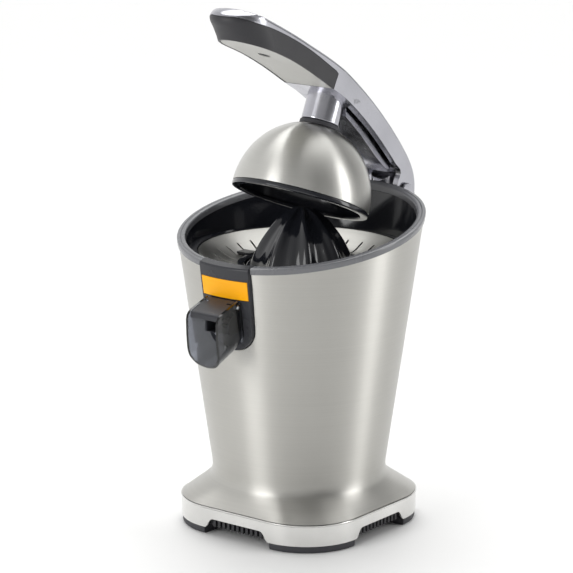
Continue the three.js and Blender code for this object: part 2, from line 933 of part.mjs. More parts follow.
// Cross-section of the scoop: straight cheeks on a round bottom, sloping down to the front.
function scoopSection(half, low, y0, y1) {
  const points = [[half, 215]];
  for (let i = 0; i <= 10; i++) {
    const t = (i * Math.PI) / 10;
    points.push([half * Math.cos(t), low + half - half * Math.sin(t)]);
  }
  points.push([-half, 215]);
  const geometry = new THREE.ExtrudeGeometry(shapeOf(points), { depth: y1 - y0, bevelEnabled: false });
  geometry.rotateX(Math.PI / 2).translate(0, y1 + 108, 0);
  geometry.applyMatrix4(new THREE.Matrix4().makeShear(0, 0, 0, 0.42, 0, 0));
  return solid(geometry.translate(0, -108, 0));
}

function spoutScoop() {
  const side = slabX(
    [
      [-80, 142],
      [-80, 169],
      [-88.1, 175.6],
      [-88.3, 179],
      [-90.2, 181.4],
      [-107.4, 175.6],
      [-111.6, 173],
      [-113, 169],
      [-112.7, 158],
      [-111.8, 149],
      [-109.8, 141],
      [-105.6, 133.6],
      [-99, 130],
    ],
    -20,
    20,
  );
  const outer = side.intersect(scoopSection(SPOUT_HALF, 134, -125, -75));
  const hollow = scoopSection(SPOUT_HALF - SPOUT_WALL, 134 + SPOUT_WALL, -130, -70);
  const clear = loft([levelRing(PANEL_PROUD + GAP, 120), levelRing(PANEL_PROUD + GAP, 190)]);
  return cut(outer, hollow, clear, barX(1.75, -20, 20, SPOUT_Y, SPOUT_Z, 16));
}

function spoutLid() {
  const outline = [
    [-89.6, 177],
    [-89.6, 180.4],
    [-91, 181.2],
    [-107.8, 175.2],
    [-110.6, 173.6],
    [-110.8, 170.2],
    [-107.8, 171.4],
    [-96.4, 175.4],
    [-95.8, 177.4],
  ];
  const half = SPOUT_HALF - SPOUT_WALL - GAP;
  const top = slabX(outline, -half, half);
  return cut(top, box(-12.6, -7.9, -95.8, -80, 160, 179.8), box(7.9, 12.6, -95.8, -80, 160, 179.8));
}

function spoutPin(side) {
  const xs = [side * 8.4, side * (SPOUT_HALF + 0.4)].sort((a, b) => a - b);
  return barX(1.5, xs[0], xs[1], SPOUT_Y, SPOUT_Z, 16);
}

// ---- drive ----
function gearOutline(teeth, phase, [cx, cy]) {
  const pitch = (2 * Math.PI) / teeth;
  const root = MODULE * (teeth / 2 - 1.2);
  const tip = MODULE * (teeth / 2 + 0.8);
  const points = [];
  for (let i = 0; i < teeth; i++) {
    const mid = phase + i * pitch;
    const corners = [
      [root, -0.3],
      [tip, -0.1],
      [tip, 0.1],
      [root, 0.3],
    ];
    for (const [r, f] of corners)
      points.push([cx + r * Math.cos(mid + f * pitch), cy + r * Math.sin(mid + f * pitch)]);
  }
  return points;
}

// Heading from one gear axis to the next, and the phase that sets a gap of the second against a tooth.
function heading(from, to) {
  return Math.atan2(to[1] - from[1], to[0] - from[0]);
}

function meshingPhase(from, to, teeth) {
  return heading(from, to) + Math.PI + Math.PI / teeth;
}

const TRAIN = [MOTOR, IDLER, [0, 0]];

function motorRotor() {
  const [x, y] = MOTOR;
  const shaft = rod(2.5, 65.8, 130.5, 16, x, y);
  const core = rod(18.5, 76, 110, 32, x, y);
  const pinion = slabZ(gearOutline(TEETH_PINION, heading(MOTOR, IDLER), MOTOR), 129.5, 137);
  return join(shaft, core, pinion);
}

function motorCan() {
  const cup = [
    [0, 64],
    [24, 64],
    [25, 65],
    [25, 123.4],
    [21.5, 123.4],
    [21.5, 68],
    [2.9, 68],
    [2.9, 65.5],
    [0, 65.5],
  ];
  return turned(cup, 28, ...MOTOR);
}

function motorCap() {
  const disc = [
    [3, 119],
    [21.2, 119],
    [21.2, 123.4],
    [3, 123.4],
  ];
  return turned(disc, 28, ...MOTOR);
}

function hull(points) {
  const sorted = [...points].sort((a, b) => a[0] - b[0] || a[1] - b[1]);
  const turn = (o, a, b) => (a[0] - o[0]) * (b[1] - o[1]) - (a[1] - o[1]) * (b[0] - o[0]);
  const half = (list) => {
    const chain = [];
    for (const p of list) {
      while (chain.length > 1 && turn(chain.at(-2), chain.at(-1), p) <= 1e-9) chain.pop();
      chain.push(p);
    }
    return chain.slice(0, -1);
  };
  return [...half(sorted), ...half(sorted.reverse())];
}

function gearboxOutline(inset) {
  const discs = [
    [0, 0, 33],
    [...IDLER, 31],
    [...MOTOR, 30],
  ];
  const points = discs.flatMap(([x, y, r]) =>
    Array.from({ length: 16 }, (_, i) => {
      const t = (i * Math.PI) / 8;
      return [x + (r - inset) * Math.cos(t), y + (r - inset) * Math.sin(t)];
    }),
  );
  return hull(points);
}

function gearboxCase() {
  const body = slabZ(gearboxOutline(0), 124, 149.7);
  const hollow = slabZ(gearboxOutline(2.2), 127, 155);
  const motorHole = rod(9.2, 120, 130, 24, ...MOTOR);
  const pinPocket = rod(2.3, 125, 130, 16, ...IDLER);
  const ears = SCREWS.map(([x, y]) => rod(4.5, 124, 149.7, 16, x, y));
  const bores = SCREWS.map(([x, y]) => rod(1.7, 120, 155, 12, x, y));
  return cut(join(cut(body, hollow, motorHole, pinPocket), ...ears), ...bores);
}

function gearboxCover() {
  const plate = slabZ(gearboxOutline(0), 150, 153);
  const pinPocket = rod(2.3, 149, 151.5, 16, ...IDLER);
  const ears = SCREWS.map(([x, y]) => rod(4.5, 150, 153, 16, x, y));
  const bores = SCREWS.map(([x, y]) => rod(1.7, 140, 155, 12, x, y));
  return cut(join(plate, ...ears), rod(8.3, 149, 155), pinPocket, ...bores);
}

function gearboxScrew([x, y]) {
  return join(rod(1.4, 121, 157, 12, x, y), rod(3.2, 121.5, 123.7, 16, x, y));
}

function idlerPin() {
  return rod(2, 125.3, 151.2, 16, ...IDLER);
}

function idlerGear() {
  const phase = meshingPhase(MOTOR, IDLER, TEETH_WHEEL);
  const wheel = slabZ(gearOutline(TEETH_WHEEL, phase, IDLER), 130, 136);
  const small = slabZ(gearOutline(TEETH_SMALL, heading(IDLER, [0, 0]), IDLER), 135.5, 147);
  const hub = rod(5, 127.4, 149.6, 24, ...IDLER);
  return cut(join(wheel, small, hub), rod(2.3, 120, 155, 16, ...IDLER));
}

function outputGear() {
  const phase = meshingPhase(IDLER, [0, 0], TEETH_OUTPUT);
  const wheel = slabZ(gearOutline(TEETH_OUTPUT, phase, [0, 0]), 139.5, 146.5);
  const hub = rod(9, 138.5, 149.4);
  return cut(join(wheel, hub), rod(5.7, 130, 155, 24));
}

function driveShaft() {
  const barrelProfile = [
    [0, 136.3],
    [8.2, 136.3],
    [8.2, 137.8],
    [5.3, 137.8],
    [5.3, 186],
    [4.6, 187],
    [0, 187],
  ];
  const barrel = turned(barrelProfile, 24);
  const drive = turned([[0, 186], [4.7, 186], [4.7, 210.4], [3.6, 211.6], [0, 211.6]], 6);
  return join(barrel, drive);
}

function shaftBush() {
  return turned([[5.7, 150.2], [8, 150.2], [8, 153.3], [10, 153.3], [10, 156], [5.7, 156]], 16);
}

function shaftSeal() {
  const section = [
    [5.6, 157],
    [8, 157],
    [8, 160.8],
    [11, 160.8],
    [11, 162],
    [7, 162.4],
    [5.6, 161.4],
  ];
  return turned(section, 16);
}

function microswitch() {
  const body = box(5.4, 23, -5, 5, 127.3, 132.3);
  return cut(body, rod(1.4, 128.6, 135, 12, 7.1, 0));
}

function switchPlunger() {
  return rod(1.1, 131.4, 136, 12, 7.1, 0);
}

class Coil extends THREE.Curve {
  getPoint(t) {
    const turns = 3.5;
    const a = t * turns * 2 * Math.PI;
    return new THREE.Vector3(4 * Math.cos(a), 4 * Math.sin(a), 128.2 + 6.9 * t);
  }
}

function returnSpring() {
  const wire = new THREE.Shape().absarc(0, 0, 0.7, 0, 2 * Math.PI);
  const options = { steps: 28, extrudePath: new Coil(), curveSegments: 3, bevelEnabled: false };
  return solid(new THREE.ExtrudeGeometry(wire, options));
}

// ---- assembly ----
const juicer = new THREE.Group();
juicer.name = "citrus_press_juicer";

function add(name, body, material) {
  const data = body.getMesh();
  const step = data.numProp;
  const position = new Float32Array(data.numVert * 3);
  for (let i = 0; i < data.numVert; i++)
    position.set(data.vertProperties.subarray(i * step, i * step + 3), i * 3);
  const geometry = new THREE.BufferGeometry();
  geometry.setAttribute("position", new THREE.BufferAttribute(position, 3));
  geometry.setIndex(new THREE.BufferAttribute(data.triVerts, 1));
  const mesh = new THREE.Mesh(geometry, material);
  mesh.name = name;
  juicer.add(mesh);
}

add("outer_shell", outerShell(), brushedSteel);
add("rim_ring", rimRing(), midGrey);
add("well_liner", wellLiner(), darkGloss);
add("base_band", baseBand(), polishedSteel);
add("base_plate", basePlate(), charcoal);
for (const [name, corner] of Object.entries(CORNERS)) add(name, foot(corner), rubberBlack);
add("cord_gland", cordGland(), rubberBlack);
add("hinge_post", hingePost(), chrome);

add("arm_casting", armCasting(), chrome);
add("grip_band", gripBand(), charcoal);
add("grip_underplate", gripUnderplate(), underGrey);
add("grip_screw", gripScrew(), zinc);
add("arm_core", armCore(), polishedSteel);
add("hinge_pin", hingePin(), zinc);
add("pin_cap_right", pinCap(1), chrome);
add("pin_cap_left", pinCap(-1), chrome);
add("dome_collar", domeCollar(), rubberBlack);
add("dome_screw", domeScrew(), zinc);
add("press_dome", pressDome(), brushedSteel);
add("dome_liner", domeLiner(), darkGloss);

add("reamer_cone", reamerCone(), darkGloss);
add("strainer", strainer(), brushedSteel);
add("strainer_hub", strainerHub(), darkGloss);
add("juice_tray", juiceTray(), darkGloss);
add("front_panel", frontPanel(), midGrey);
add("accent_plate", accentPlate(), yellow);
add("spout_scoop", spoutScoop(), smoky);
add("spout_lid", spoutLid(), midGrey);
add("spout_pin_right", spoutPin(1), zinc);
add("spout_pin_left", spoutPin(-1), zinc);

add("motor_can", motorCan(), zinc);
add("motor_cap", motorCap(), nylonWhite);
add("motor_rotor", motorRotor(), zinc);
add("gearbox_case", gearboxCase(), nylonWhite);
add("gearbox_cover", gearboxCover(), nylonWhite);
SCREWS.forEach((place, i) => add(`gearbox_screw_${i + 1}`, gearboxScrew(place), zinc));
add("idler_pin", idlerPin(), zinc);
add("idler_gear", idlerGear(), nylonWhite);
add("output_gear", outputGear(), nylonWhite);
add("drive_shaft", driveShaft(), zinc);
add("shaft_bush", shaftBush(), brass);
add("shaft_seal", shaftSeal(), rubberBlack);
add("microswitch", microswitch(), charcoal);
add("switch_plunger", switchPlunger(), yellow);
add("return_spring", returnSpring(), zinc);

export default juicer;
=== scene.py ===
# %% [markdown]
# # A citrus press juicer
# The machine is a flared steel body on a polished foot band, with a sloping plastic rim, a spout at
# the front and a cast lever at the back that carries a steel press dome.
# Its sizes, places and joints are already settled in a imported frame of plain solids. This script
# gives every visible piece a finer surface in the same place, and every piece its finish.

# %% Load the frame
import json
import math

import bmesh
import bpy
from mathutils import Matrix, Vector

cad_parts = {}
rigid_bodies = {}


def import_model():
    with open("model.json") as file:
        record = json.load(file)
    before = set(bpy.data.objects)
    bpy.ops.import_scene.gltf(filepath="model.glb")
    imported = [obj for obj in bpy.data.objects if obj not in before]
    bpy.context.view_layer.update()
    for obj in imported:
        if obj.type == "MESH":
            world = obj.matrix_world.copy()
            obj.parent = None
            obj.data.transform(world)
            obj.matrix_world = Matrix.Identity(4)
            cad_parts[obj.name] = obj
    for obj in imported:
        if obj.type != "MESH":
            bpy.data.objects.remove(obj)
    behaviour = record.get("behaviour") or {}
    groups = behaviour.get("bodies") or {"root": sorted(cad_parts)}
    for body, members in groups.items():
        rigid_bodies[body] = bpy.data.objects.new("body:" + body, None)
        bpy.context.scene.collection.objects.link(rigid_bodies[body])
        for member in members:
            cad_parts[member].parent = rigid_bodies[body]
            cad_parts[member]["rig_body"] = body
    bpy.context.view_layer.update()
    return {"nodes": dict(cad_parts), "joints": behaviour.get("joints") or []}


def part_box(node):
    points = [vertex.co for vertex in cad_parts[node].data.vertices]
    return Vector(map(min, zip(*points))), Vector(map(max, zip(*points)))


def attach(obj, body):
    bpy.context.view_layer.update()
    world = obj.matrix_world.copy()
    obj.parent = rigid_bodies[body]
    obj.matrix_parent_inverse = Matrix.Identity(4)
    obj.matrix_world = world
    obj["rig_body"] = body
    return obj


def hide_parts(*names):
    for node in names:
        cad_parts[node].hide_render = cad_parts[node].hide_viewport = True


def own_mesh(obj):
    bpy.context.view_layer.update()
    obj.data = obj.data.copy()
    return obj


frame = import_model()
print("solids in the frame:", len(frame["nodes"]))

# %% [markdown]
# ## Places taken from the frame
# Shapes are drawn in millimetres, because that is how such a machine is drawn, and are scaled to
# metres as the last step. What places them comes from the frame: the joints' pivots and the boxes
# of the solids.

# %% Places
MM = 1000.0


def span(node, axis):
    """Lowest and highest millimetre of a solid along x, y or z."""
    low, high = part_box(node)
    return low["xyz".index(axis)] * MM, high["xyz".index(axis)] * MM


def pivot(joint):
    """A joint's pivot in millimetres."""
    found = next(j for j in frame["joints"] if j["name"] == joint)
    return Vector(found["pos_m"]) * MM


GAP = 0.3
BASE_HALF = (span("base_band", "x")[1] - span("base_band", "x")[0]) / 2 - 0.6
BODY_Y = sum(span("base_band", "y")) / 2
HINGE = pivot("arm_hinge")
DOME = pivot("dome_twist")
SPOUT = pivot("spout_flip")
dome_axis = Vector(next(j for j in frame["joints"] if j["name"] == "dome_twist")["axis"])
TILT = math.atan2(dome_axis.y, dome_axis.z)
CONE_LOW, CONE_TOP = span("reamer_cone", "z")
print("body centre y", round(BODY_Y, 1), "lever tilt", round(math.degrees(TILT), 1))

# %% [markdown]
# ## Camera, floor and light
# Polished steel shows its surroundings more than itself, so the light is planned as a studio: a
# white sweep all round, a few darker stretches in it that give the steel its soft bands, and tall
# strips of light. The sweep is the world, which any view of the model sees alike.

# %% Camera
camera = bpy.data.objects.new("camera", bpy.data.cameras.new("camera"))
bpy.context.scene.collection.objects.link(camera)
camera.location = (1.24469, -1.61775, 0.67633)
camera.rotation_euler = (math.radians(90 - 13.869), 0, math.radians(37.882))
camera.data.sensor_width = 36
camera.data.lens = 183.9
camera.data.clip_end = 20
bpy.context.scene.camera = camera
bpy.context.scene.view_settings.view_transform = "Standard"
print("camera looks down by 13.9 degrees from the front right")

# %% [markdown]
# The machine stands on a plain floor, wide enough to reach the horizon. It is staging, so the
# model's measures leave it out.

# %% Floor
FLOOR_REACH = 6  # metres from the middle to an edge
floor_mesh = bpy.data.meshes.new("floor")
floor_bm = bmesh.new()
bmesh.ops.create_grid(floor_bm, x_segments=8, y_segments=8, size=FLOOR_REACH)
floor_bm.to_mesh(floor_mesh)
floor_bm.free()
floor = bpy.data.objects.new("floor", floor_mesh)
bpy.context.scene.collection.objects.link(floor)
print("floor reaches", FLOOR_REACH, "m each way")


# %% [markdown]
# ## How a finish is made
# Every finish starts from one Principled shader. What changes over the surface, such as a brush
# mark or a fingerprint's worth of haze, goes to its roughness, colour or bump, and what is the same
# all over is set on its own socket.

# %% A small kit for materials
NOISE_SPAN = (0.3, 0.7)  # most of a noise lies between these


def new_finish(name, colour, metallic=0.0, roughness=0.5, **sockets):
    """A material with one Principled shader; returns the material, its tree and the shader."""
    material = bpy.data.materials.new(name)
    material.use_nodes = True
    material.diffuse_color = (*colour, 1)
    tree = material.node_tree
    shader = tree.nodes["Principled BSDF"]
    shader.inputs["Base Color"].default_value = (*colour, 1)
    shader.inputs["Metallic"].default_value = metallic
    shader.inputs["Roughness"].default_value = roughness
    for socket, value in sockets.items():
        shader.inputs[socket.replace("_", " ")].default_value = value
    return material, tree, shader


def noise_on(tree, scale, detail=4.0, stretch=(1, 1, 1)):
    """Noise on object coordinates, stretched along the axes."""
    coordinates = tree.nodes.new("ShaderNodeTexCoord")
    mapping = tree.nodes.new("ShaderNodeMapping")
    mapping.inputs["Scale"].default_value = stretch
    noise = tree.nodes.new("ShaderNodeTexNoise")
    noise.inputs["Scale"].default_value = scale
    noise.inputs["Detail"].default_value = detail
    tree.links.new(coordinates.outputs["Object"], mapping.inputs["Vector"])
    tree.links.new(mapping.outputs["Vector"], noise.inputs["Vector"])
    return noise.outputs["Fac"]


def ranged(tree, value, low, high):
    """Maps the middle of a noise to a range."""
    node = tree.nodes.new("ShaderNodeMapRange")
    node.inputs["From Min"].default_value, node.inputs["From Max"].default_value = NOISE_SPAN
    node.inputs["To Min"].default_value = low
    node.inputs["To Max"].default_value = high
    tree.links.new(value, node.inputs["Value"])
    return node.outputs["Result"]


def vary_roughness(tree, shader, value, low, high):
    tree.links.new(ranged(tree, value, low, high), shader.inputs["Roughness"])


def vary_colour(tree, shader, value, dark, light):
    ramp = tree.nodes.new("ShaderNodeValToRGB")
    for stop, place, colour in zip(ramp.color_ramp.elements, NOISE_SPAN, (dark, light)):
        stop.position = place
        stop.color = (*colour, 1)
    tree.links.new(value, ramp.inputs["Fac"])
    tree.links.new(ramp.outputs["Color"], shader.inputs["Base Color"])


def add_bump(tree, shader, value, height, strength=1.0):
    """Bump of a real height, in metres."""
    bump = tree.nodes.new("ShaderNodeBump")
    bump.inputs["Strength"].default_value = strength
    bump.inputs["Distance"].default_value = height
    tree.links.new(value, bump.inputs["Height"])
    tree.links.new(bump.outputs["Normal"], shader.inputs["Normal"])


print("noise is read between", *NOISE_SPAN)


# %% [markdown]
# ### Brushed steel
# The sheet is brushed round the body, so each brush mark is a long thin ring. Noise stretched flat,
# fine from top to bottom and very coarse along the ring, gives the marks. The highlight spreads
# across the marks, so the tangent runs round the axis and the anisotropy is turned a quarter.

# %% Brushed steel
def brushed(name, colour, low, high):
    material, tree, shader = new_finish(name, colour, 1.0, low, Anisotropic=0.88)
    shader.inputs["Anisotropic Rotation"].default_value = 0.25
    marks = noise_on(tree, 1.0, 6.0, (4, 4, 3200))
    vary_roughness(tree, shader, marks, low, high)
    dark = tuple(c * 0.965 for c in colour)
    vary_colour(tree, shader, noise_on(tree, 1.0, 3.0, (5, 5, 1500)), dark, colour)
    add_bump(tree, shader, marks, 0.000002, 0.3)
    tangent = tree.nodes.new("ShaderNodeTangent")
    tangent.direction_type = "RADIAL"
    tangent.axis = "Z"
    tree.links.new(tangent.outputs["Tangent"], shader.inputs["Tangent"])
    return material


body_steel = brushed("brushed_steel", (0.53, 0.522, 0.492), 0.38, 0.44)
dome_steel = brushed("dome_steel", (0.58, 0.575, 0.545), 0.34, 0.4)
strainer_steel = brushed("strainer_steel", (0.52, 0.515, 0.485), 0.3, 0.36)
print("brushed finishes made")


# %% [markdown]
# ### Polished metals
# The foot band is rolled and buffed, and the lever is a casting polished by hand, so its face rolls
# a little and takes a faint violet from its plating. A very low, broad bump gives that roll, and a
# slow darker mottling of the colour is a painted reflection: the dark patches that a polished face
# mirrors from its surroundings.

# %% Polished metals
def polished(name, colour, low, high, roll, scale):
    material, tree, shader = new_finish(name, colour, 1.0, low)
    vary_roughness(tree, shader, noise_on(tree, 60, 5.0), low, high)
    # Painted reflection: slow darker patches in the colour stand for what the polished face
    # mirrors.
    painted_reflection_dark = tuple(c * 0.84 for c in colour)
    vary_colour(tree, shader, noise_on(tree, 26, 5.0), painted_reflection_dark, colour)
    add_bump(tree, shader, noise_on(tree, scale, 2.0), roll, 0.6)
    return material


band_metal = polished("polished_band", (0.8, 0.795, 0.775), 0.12, 0.2, 0.00002, 40)
arm_metal = polished("cast_chrome", (0.5, 0.5, 0.54), 0.12, 0.28, 0.00012, 30)
zinc = polished("zinc_steel", (0.5, 0.52, 0.53), 0.28, 0.42, 0.00001, 300)
bronze = polished("bush_bronze", (0.6, 0.4, 0.15), 0.3, 0.45, 0.00001, 300)
print("polished finishes made, finishes so far:", len(bpy.data.materials))


# %% [markdown]
# ### Moulded plastics
# The glossy mouldings carry only dust-fine haze. The satin ones have a spark-eroded grain, which is
# a fine bump, and the soft band on the handle is nearly matt.

# %% Moulded plastics
def moulded(name, colour, low, high, grain, scale=900.0, **sockets):
    material, tree, shader = new_finish(name, colour, 0.0, low, **sockets)
    vary_roughness(tree, shader, noise_on(tree, 45, 5.0), low, high)
    light = tuple(min(1.0, c * 1.08) for c in colour)
    vary_colour(tree, shader, noise_on(tree, 12, 3.0), colour, light)
    add_bump(tree, shader, noise_on(tree, scale, 2.0), grain, 0.4)
    return material


GLOSS = {"Coat_Weight": 0.2, "Coat_Roughness": 0.05}
LOW_SHEEN = {"Specular_IOR_Level": 0.28}
mid_grey = moulded("mid_grey_gloss", (0.135, 0.138, 0.148), 0.2, 0.3, 0.000004, **GLOSS)
panel_grey = moulded("panel_grey_gloss", (0.036, 0.037, 0.042), 0.2, 0.3, 0.000004, **LOW_SHEEN)
lid_grey = moulded("lid_grey_satin", (0.03, 0.031, 0.036), 0.32, 0.42, 0.000004, **LOW_SHEEN)
dark_gloss = moulded("dark_gloss", (0.012, 0.013, 0.017), 0.06, 0.14, 0.000003, **GLOSS)
charcoal = moulded("soft_charcoal", (0.017, 0.0165, 0.02), 0.4, 0.52, 0.00002, 1600.0)
plate_grey = moulded("plate_grey", (0.42, 0.415, 0.39), 0.36, 0.46, 0.00001, 1200.0)
accent = moulded("accent_yellow", (1.0, 0.42, 0.0), 0.3, 0.38, 0.000004, **LOW_SHEEN)
black_grain = moulded("black_grain", (0.02, 0.02, 0.023), 0.45, 0.6, 0.00003, 1400.0)
rubber = moulded("foot_rubber", (0.035, 0.035, 0.041), 0.5, 0.65, 0.00002, 1800.0)
nylon = moulded("natural_nylon", (0.78, 0.75, 0.66), 0.45, 0.55, 0.00001, 900.0)
print("moulded finishes made, finishes so far:", len(bpy.data.materials))

# %% [markdown]
# ### Smoky clear plastic
# The scoop is moulded in tinted clear plastic. Full transmission with a grey tint makes it darker
# wherever a ray passes through more walls, as the real one does.

# %% Smoky clear plastic
smoky, smoky_tree, smoky_shader = new_finish(
    "smoky_clear", (0.22, 0.23, 0.26), 0.0, 0.04, Transmission_Weight=1.0, IOR=1.49
)
vary_roughness(smoky_tree, smoky_shader, noise_on(smoky_tree, 50, 4.0), 0.03, 0.08)
print("finishes:", len(bpy.data.materials))


# %% [markdown]
# ## Tools for shaping
# Almost every piece is one of four shapes: a skin through rings, a profile spun round an axis, an
# outline pushed straight through, or one of these with others cut from it. Each tool below makes
# one of them with mesh operators and hands back a bmesh in millimetres.

# %% Rings and skins
SIDES = 160  # round the body


def smooth_line(points, per_gap=4):
    """Points along a smooth line that passes through all the given ones, of any dimension."""
    gaps = [math.dist(a[:2], b[:2]) for a, b in zip(points, points[1:])]

    def slope(i):
        if i == 0 or i == len(points) - 1:
            a, b, gap = (0, 1, gaps[0]) if i == 0 else (-2, -1, gaps[-1])
            return [(q - p) / gap for p, q in zip(points[a], points[b])]
        before, after = gaps[i - 1], gaps[i]
        back = [(q - p) / before for p, q in zip(points[i - 1], points[i])]
        on = [(q - p) / after for p, q in zip(points[i], points[i + 1])]
        return [(m * after + n * before) / (before + after) for m, n in zip(back, on)]

    line = []
    for i, gap in enumerate(gaps):
        start, end = slope(i), slope(i + 1)
        for step in range(per_gap):
            t = step / per_gap
            weights = (
                2 * t**3 - 3 * t**2 + 1,
                (t**3 - 2 * t**2 + t) * gap,
                3 * t**2 - 2 * t**3,
                (t**3 - t**2) * gap,
            )
            parts = zip(points[i], start, points[i + 1], end)
            line.append(tuple(sum(w * p for w, p in zip(weights, part)) for part in parts))
    return [*line, tuple(points[-1])]


def skin(rings, closed=False):
    """A solid skin over rings of points; closed joins the last ring to the first."""
    bm = bmesh.new()
    count = len(rings[0])
    bmesh.ops.create_circle(bm, segments=count, radius=1)
    bm.verts.ensure_lookup_table()
    first = list(bm.verts)
    for vert, place in zip(first, rings[0]):
        vert.co = place
    loop, edges = first, list(bm.edges)
    first_edges = edges
    for ring in rings[1:]:
        made = bmesh.ops.extrude_edge_only(bm, edges=edges)["geom"]
        edges = [g for g in made if isinstance(g, bmesh.types.BMEdge)]
        index = {vert: i for i, vert in enumerate(loop)}
        fresh = set(g for g in made if isinstance(g, bmesh.types.BMVert))
        following = [None] * count
        for vert in fresh:
            link = next(e for e in vert.link_edges if e.other_vert(vert) in index)
            following[index[link.other_vert(vert)]] = vert
        for vert, place in zip(following, ring):
            vert.co = place
        loop = following
    if closed:
        bmesh.ops.bridge_loops(bm, edges=first_edges + edges)
    else:
        bmesh.ops.contextual_create(bm, geom=first_edges)
        bmesh.ops.contextual_create(bm, geom=edges)
    bmesh.ops.recalc_face_normals(bm, faces=bm.faces)
    return bm


def spun(profile, steps=96, closed=True):
    """A profile of (radius, z) spun round Z. A closed profile is a ring; an open one ends on Z."""
    bm = bmesh.new()
    verts = [bm.verts.new((radius, 0, z)) for radius, z in profile]
    pairs = list(zip(verts, verts[1:]))
    if closed:
        pairs.append((verts[-1], verts[0]))
    edges = [bm.edges.new(pair) for pair in pairs]
    bmesh.ops.spin(
        bm,
        geom=verts + edges,
        cent=(0, 0, 0),
        axis=(0, 0, 1),
        angle=2 * math.pi,
        steps=steps,
        use_merge=True,
    )
    bmesh.ops.remove_doubles(bm, verts=bm.verts, dist=0.001)
    bmesh.ops.recalc_face_normals(bm, faces=bm.faces)
    return bm


def rod(radius, low, high, steps=32, x=0.0, y=0.0):
    bm = spun([(0, low), (radius, low), (radius, high), (0, high)], steps, closed=False)
    return moved(bm, (x, y, 0))


def prism(outline, low, high, along="z"):
    """An outline pushed from low to high along an axis. Along x it is (y, z), along y (x, z)."""
    places = {
        "x": lambda a, b: (low, a, b),
        "y": lambda a, b: (a, low, b),
        "z": lambda a, b: (a, b, low),
    }
    bm = bmesh.new()
    face = bm.faces.new([bm.verts.new(places[along](a, b)) for a, b in outline])
    made = bmesh.ops.extrude_face_region(bm, geom=[face])["geom"]
    push = Vector([high - low if axis == along else 0 for axis in "xyz"])
    bmesh.ops.translate(bm, verts=[g for g in made if isinstance(g, bmesh.types.BMVert)], vec=push)
    bmesh.ops.recalc_face_normals(bm, faces=bm.faces)
    return bm


def block(x0, x1, y0, y1, z0, z1):
    return prism([(x0, y0), (x1, y0), (x1, y1), (x0, y1)], z0, z1)


def moved(bm, vector):
    bmesh.ops.translate(bm, verts=bm.verts, vec=vector)
    return bm


def turned(bm, angle, axis="Z", centre=(0, 0, 0)):
    bmesh.ops.rotate(bm, verts=bm.verts, cent=centre, matrix=Matrix.Rotation(angle, 3, axis))
    return bm


trial = rod(10, 0, 10, SIDES)
print("a rod 20 mm wide and 10 mm high holds", round(trial.calc_volume()), "mm3")
trial.free()

# %% [markdown]
# Holes, notches and joins are made as in a workshop: one solid is cut by another, or grows together
# with it. The Boolean modifier does this. Its manifold solver is quick and exact, and asks only
# that every shape is closed. The shapes passed in are used up.

# %% Cutting and joining
SOLVER = "MANIFOLD"


def as_object(bm, name):
    mesh = bpy.data.meshes.new(name)
    bm.to_mesh(mesh)
    bm.free()
    made = bpy.data.objects.new(name, mesh)
    bpy.context.scene.collection.objects.link(made)
    return made


def combined(how, whole, tools):
    """The whole with each tool cut off, joined on or kept in common, as a new bmesh."""
    base = as_object(whole, "whole")
    others = [as_object(tool, "tool") for tool in tools]
    for other in others:
        step = base.modifiers.new("step", "BOOLEAN")
        step.operation = how
        step.object = other
        step.solver = SOLVER
    graph = bpy.context.evaluated_depsgraph_get()
    result = bmesh.new()
    result.from_object(base, graph)
    for thing in [base, *others]:
        data = thing.data
        bpy.data.objects.remove(thing)
        bpy.data.meshes.remove(data)
    return result


def cut(whole, *tools):
    return combined("DIFFERENCE", whole, tools)


def joined(whole, *others):
    return combined("UNION", whole, others)


def common(whole, *others):
    return combined("INTERSECT", whole, others)


trial = cut(block(0, 10, 0, 10, 0, 10), block(2, 8, 2, 8, -1, 11))
print("a 10 mm cube with a 6 mm square hole holds", round(trial.calc_volume()), "mm3")
trial.free()

# %% [markdown]
# ## Finishing a piece
# A moulded or pressed edge is never sharp, so each piece gets a small round on its edges, and
# smooth shading that stops at real corners. The piece then rides on its body of the frame, stands
# for the plain solid there, and takes its finish.

# %% Publishing a piece
CLOSE = 2e-6  # metres, points nearer than this are one
made_pieces = []


def publish(bm, node, material, edge=0.35, angle=32, rounds=2, merge=True):
    """Finishes a bmesh as the piece that stands for one solid of the frame.

    Merging close points would tear the thinnest slivers of a shape joined from many, so merge
    can be off, and its flat faces are made whole instead.
    """
    bmesh.ops.scale(bm, verts=bm.verts, vec=(1 / MM,) * 3)
    if merge:
        bmesh.ops.remove_doubles(bm, verts=bm.verts, dist=CLOSE)
        bmesh.ops.dissolve_degenerate(bm, edges=bm.edges, dist=CLOSE)
    else:
        flat = math.radians(0.05)
        bmesh.ops.dissolve_limit(bm, angle_limit=flat, verts=bm.verts, edges=bm.edges)
    for face in bm.faces:
        face.smooth = True
    for corner in bm.edges:
        corner.smooth = corner.calc_face_angle(0) < math.radians(angle)
    piece = as_object(bm, node + "_fine")
    piece.data.materials.append(material)
    if edge:
        rounding = piece.modifiers.new("rounding", "BEVEL")
        rounding.width = edge / MM
        rounding.segments = rounds
        rounding.limit_method = "ANGLE"
        rounding.angle_limit = math.radians(angle)
        rounding.harden_normals = False
    weights = piece.modifiers.new("weights", "WEIGHTED_NORMAL")
    weights.keep_sharp = not edge
    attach(piece, frame["nodes"][node]["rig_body"])
    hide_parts(node)
    made_pieces.append(piece)
    print(node, "has", len(piece.data.polygons), "faces")
    return piece


def from_frame(node):
    """A merged copy of a solid of the frame, its flat faces whole again, in millimetres."""
    bm = bmesh.new()
    bm.from_mesh(frame["nodes"][node].data)
    bmesh.ops.remove_doubles(bm, verts=bm.verts, dist=CLOSE)
    bmesh.ops.scale(bm, verts=bm.verts, vec=(MM,) * 3)
    flat = math.radians(0.4)
    bmesh.ops.dissolve_limit(bm, angle_limit=flat, verts=bm.verts, edges=bm.edges)
    return bm


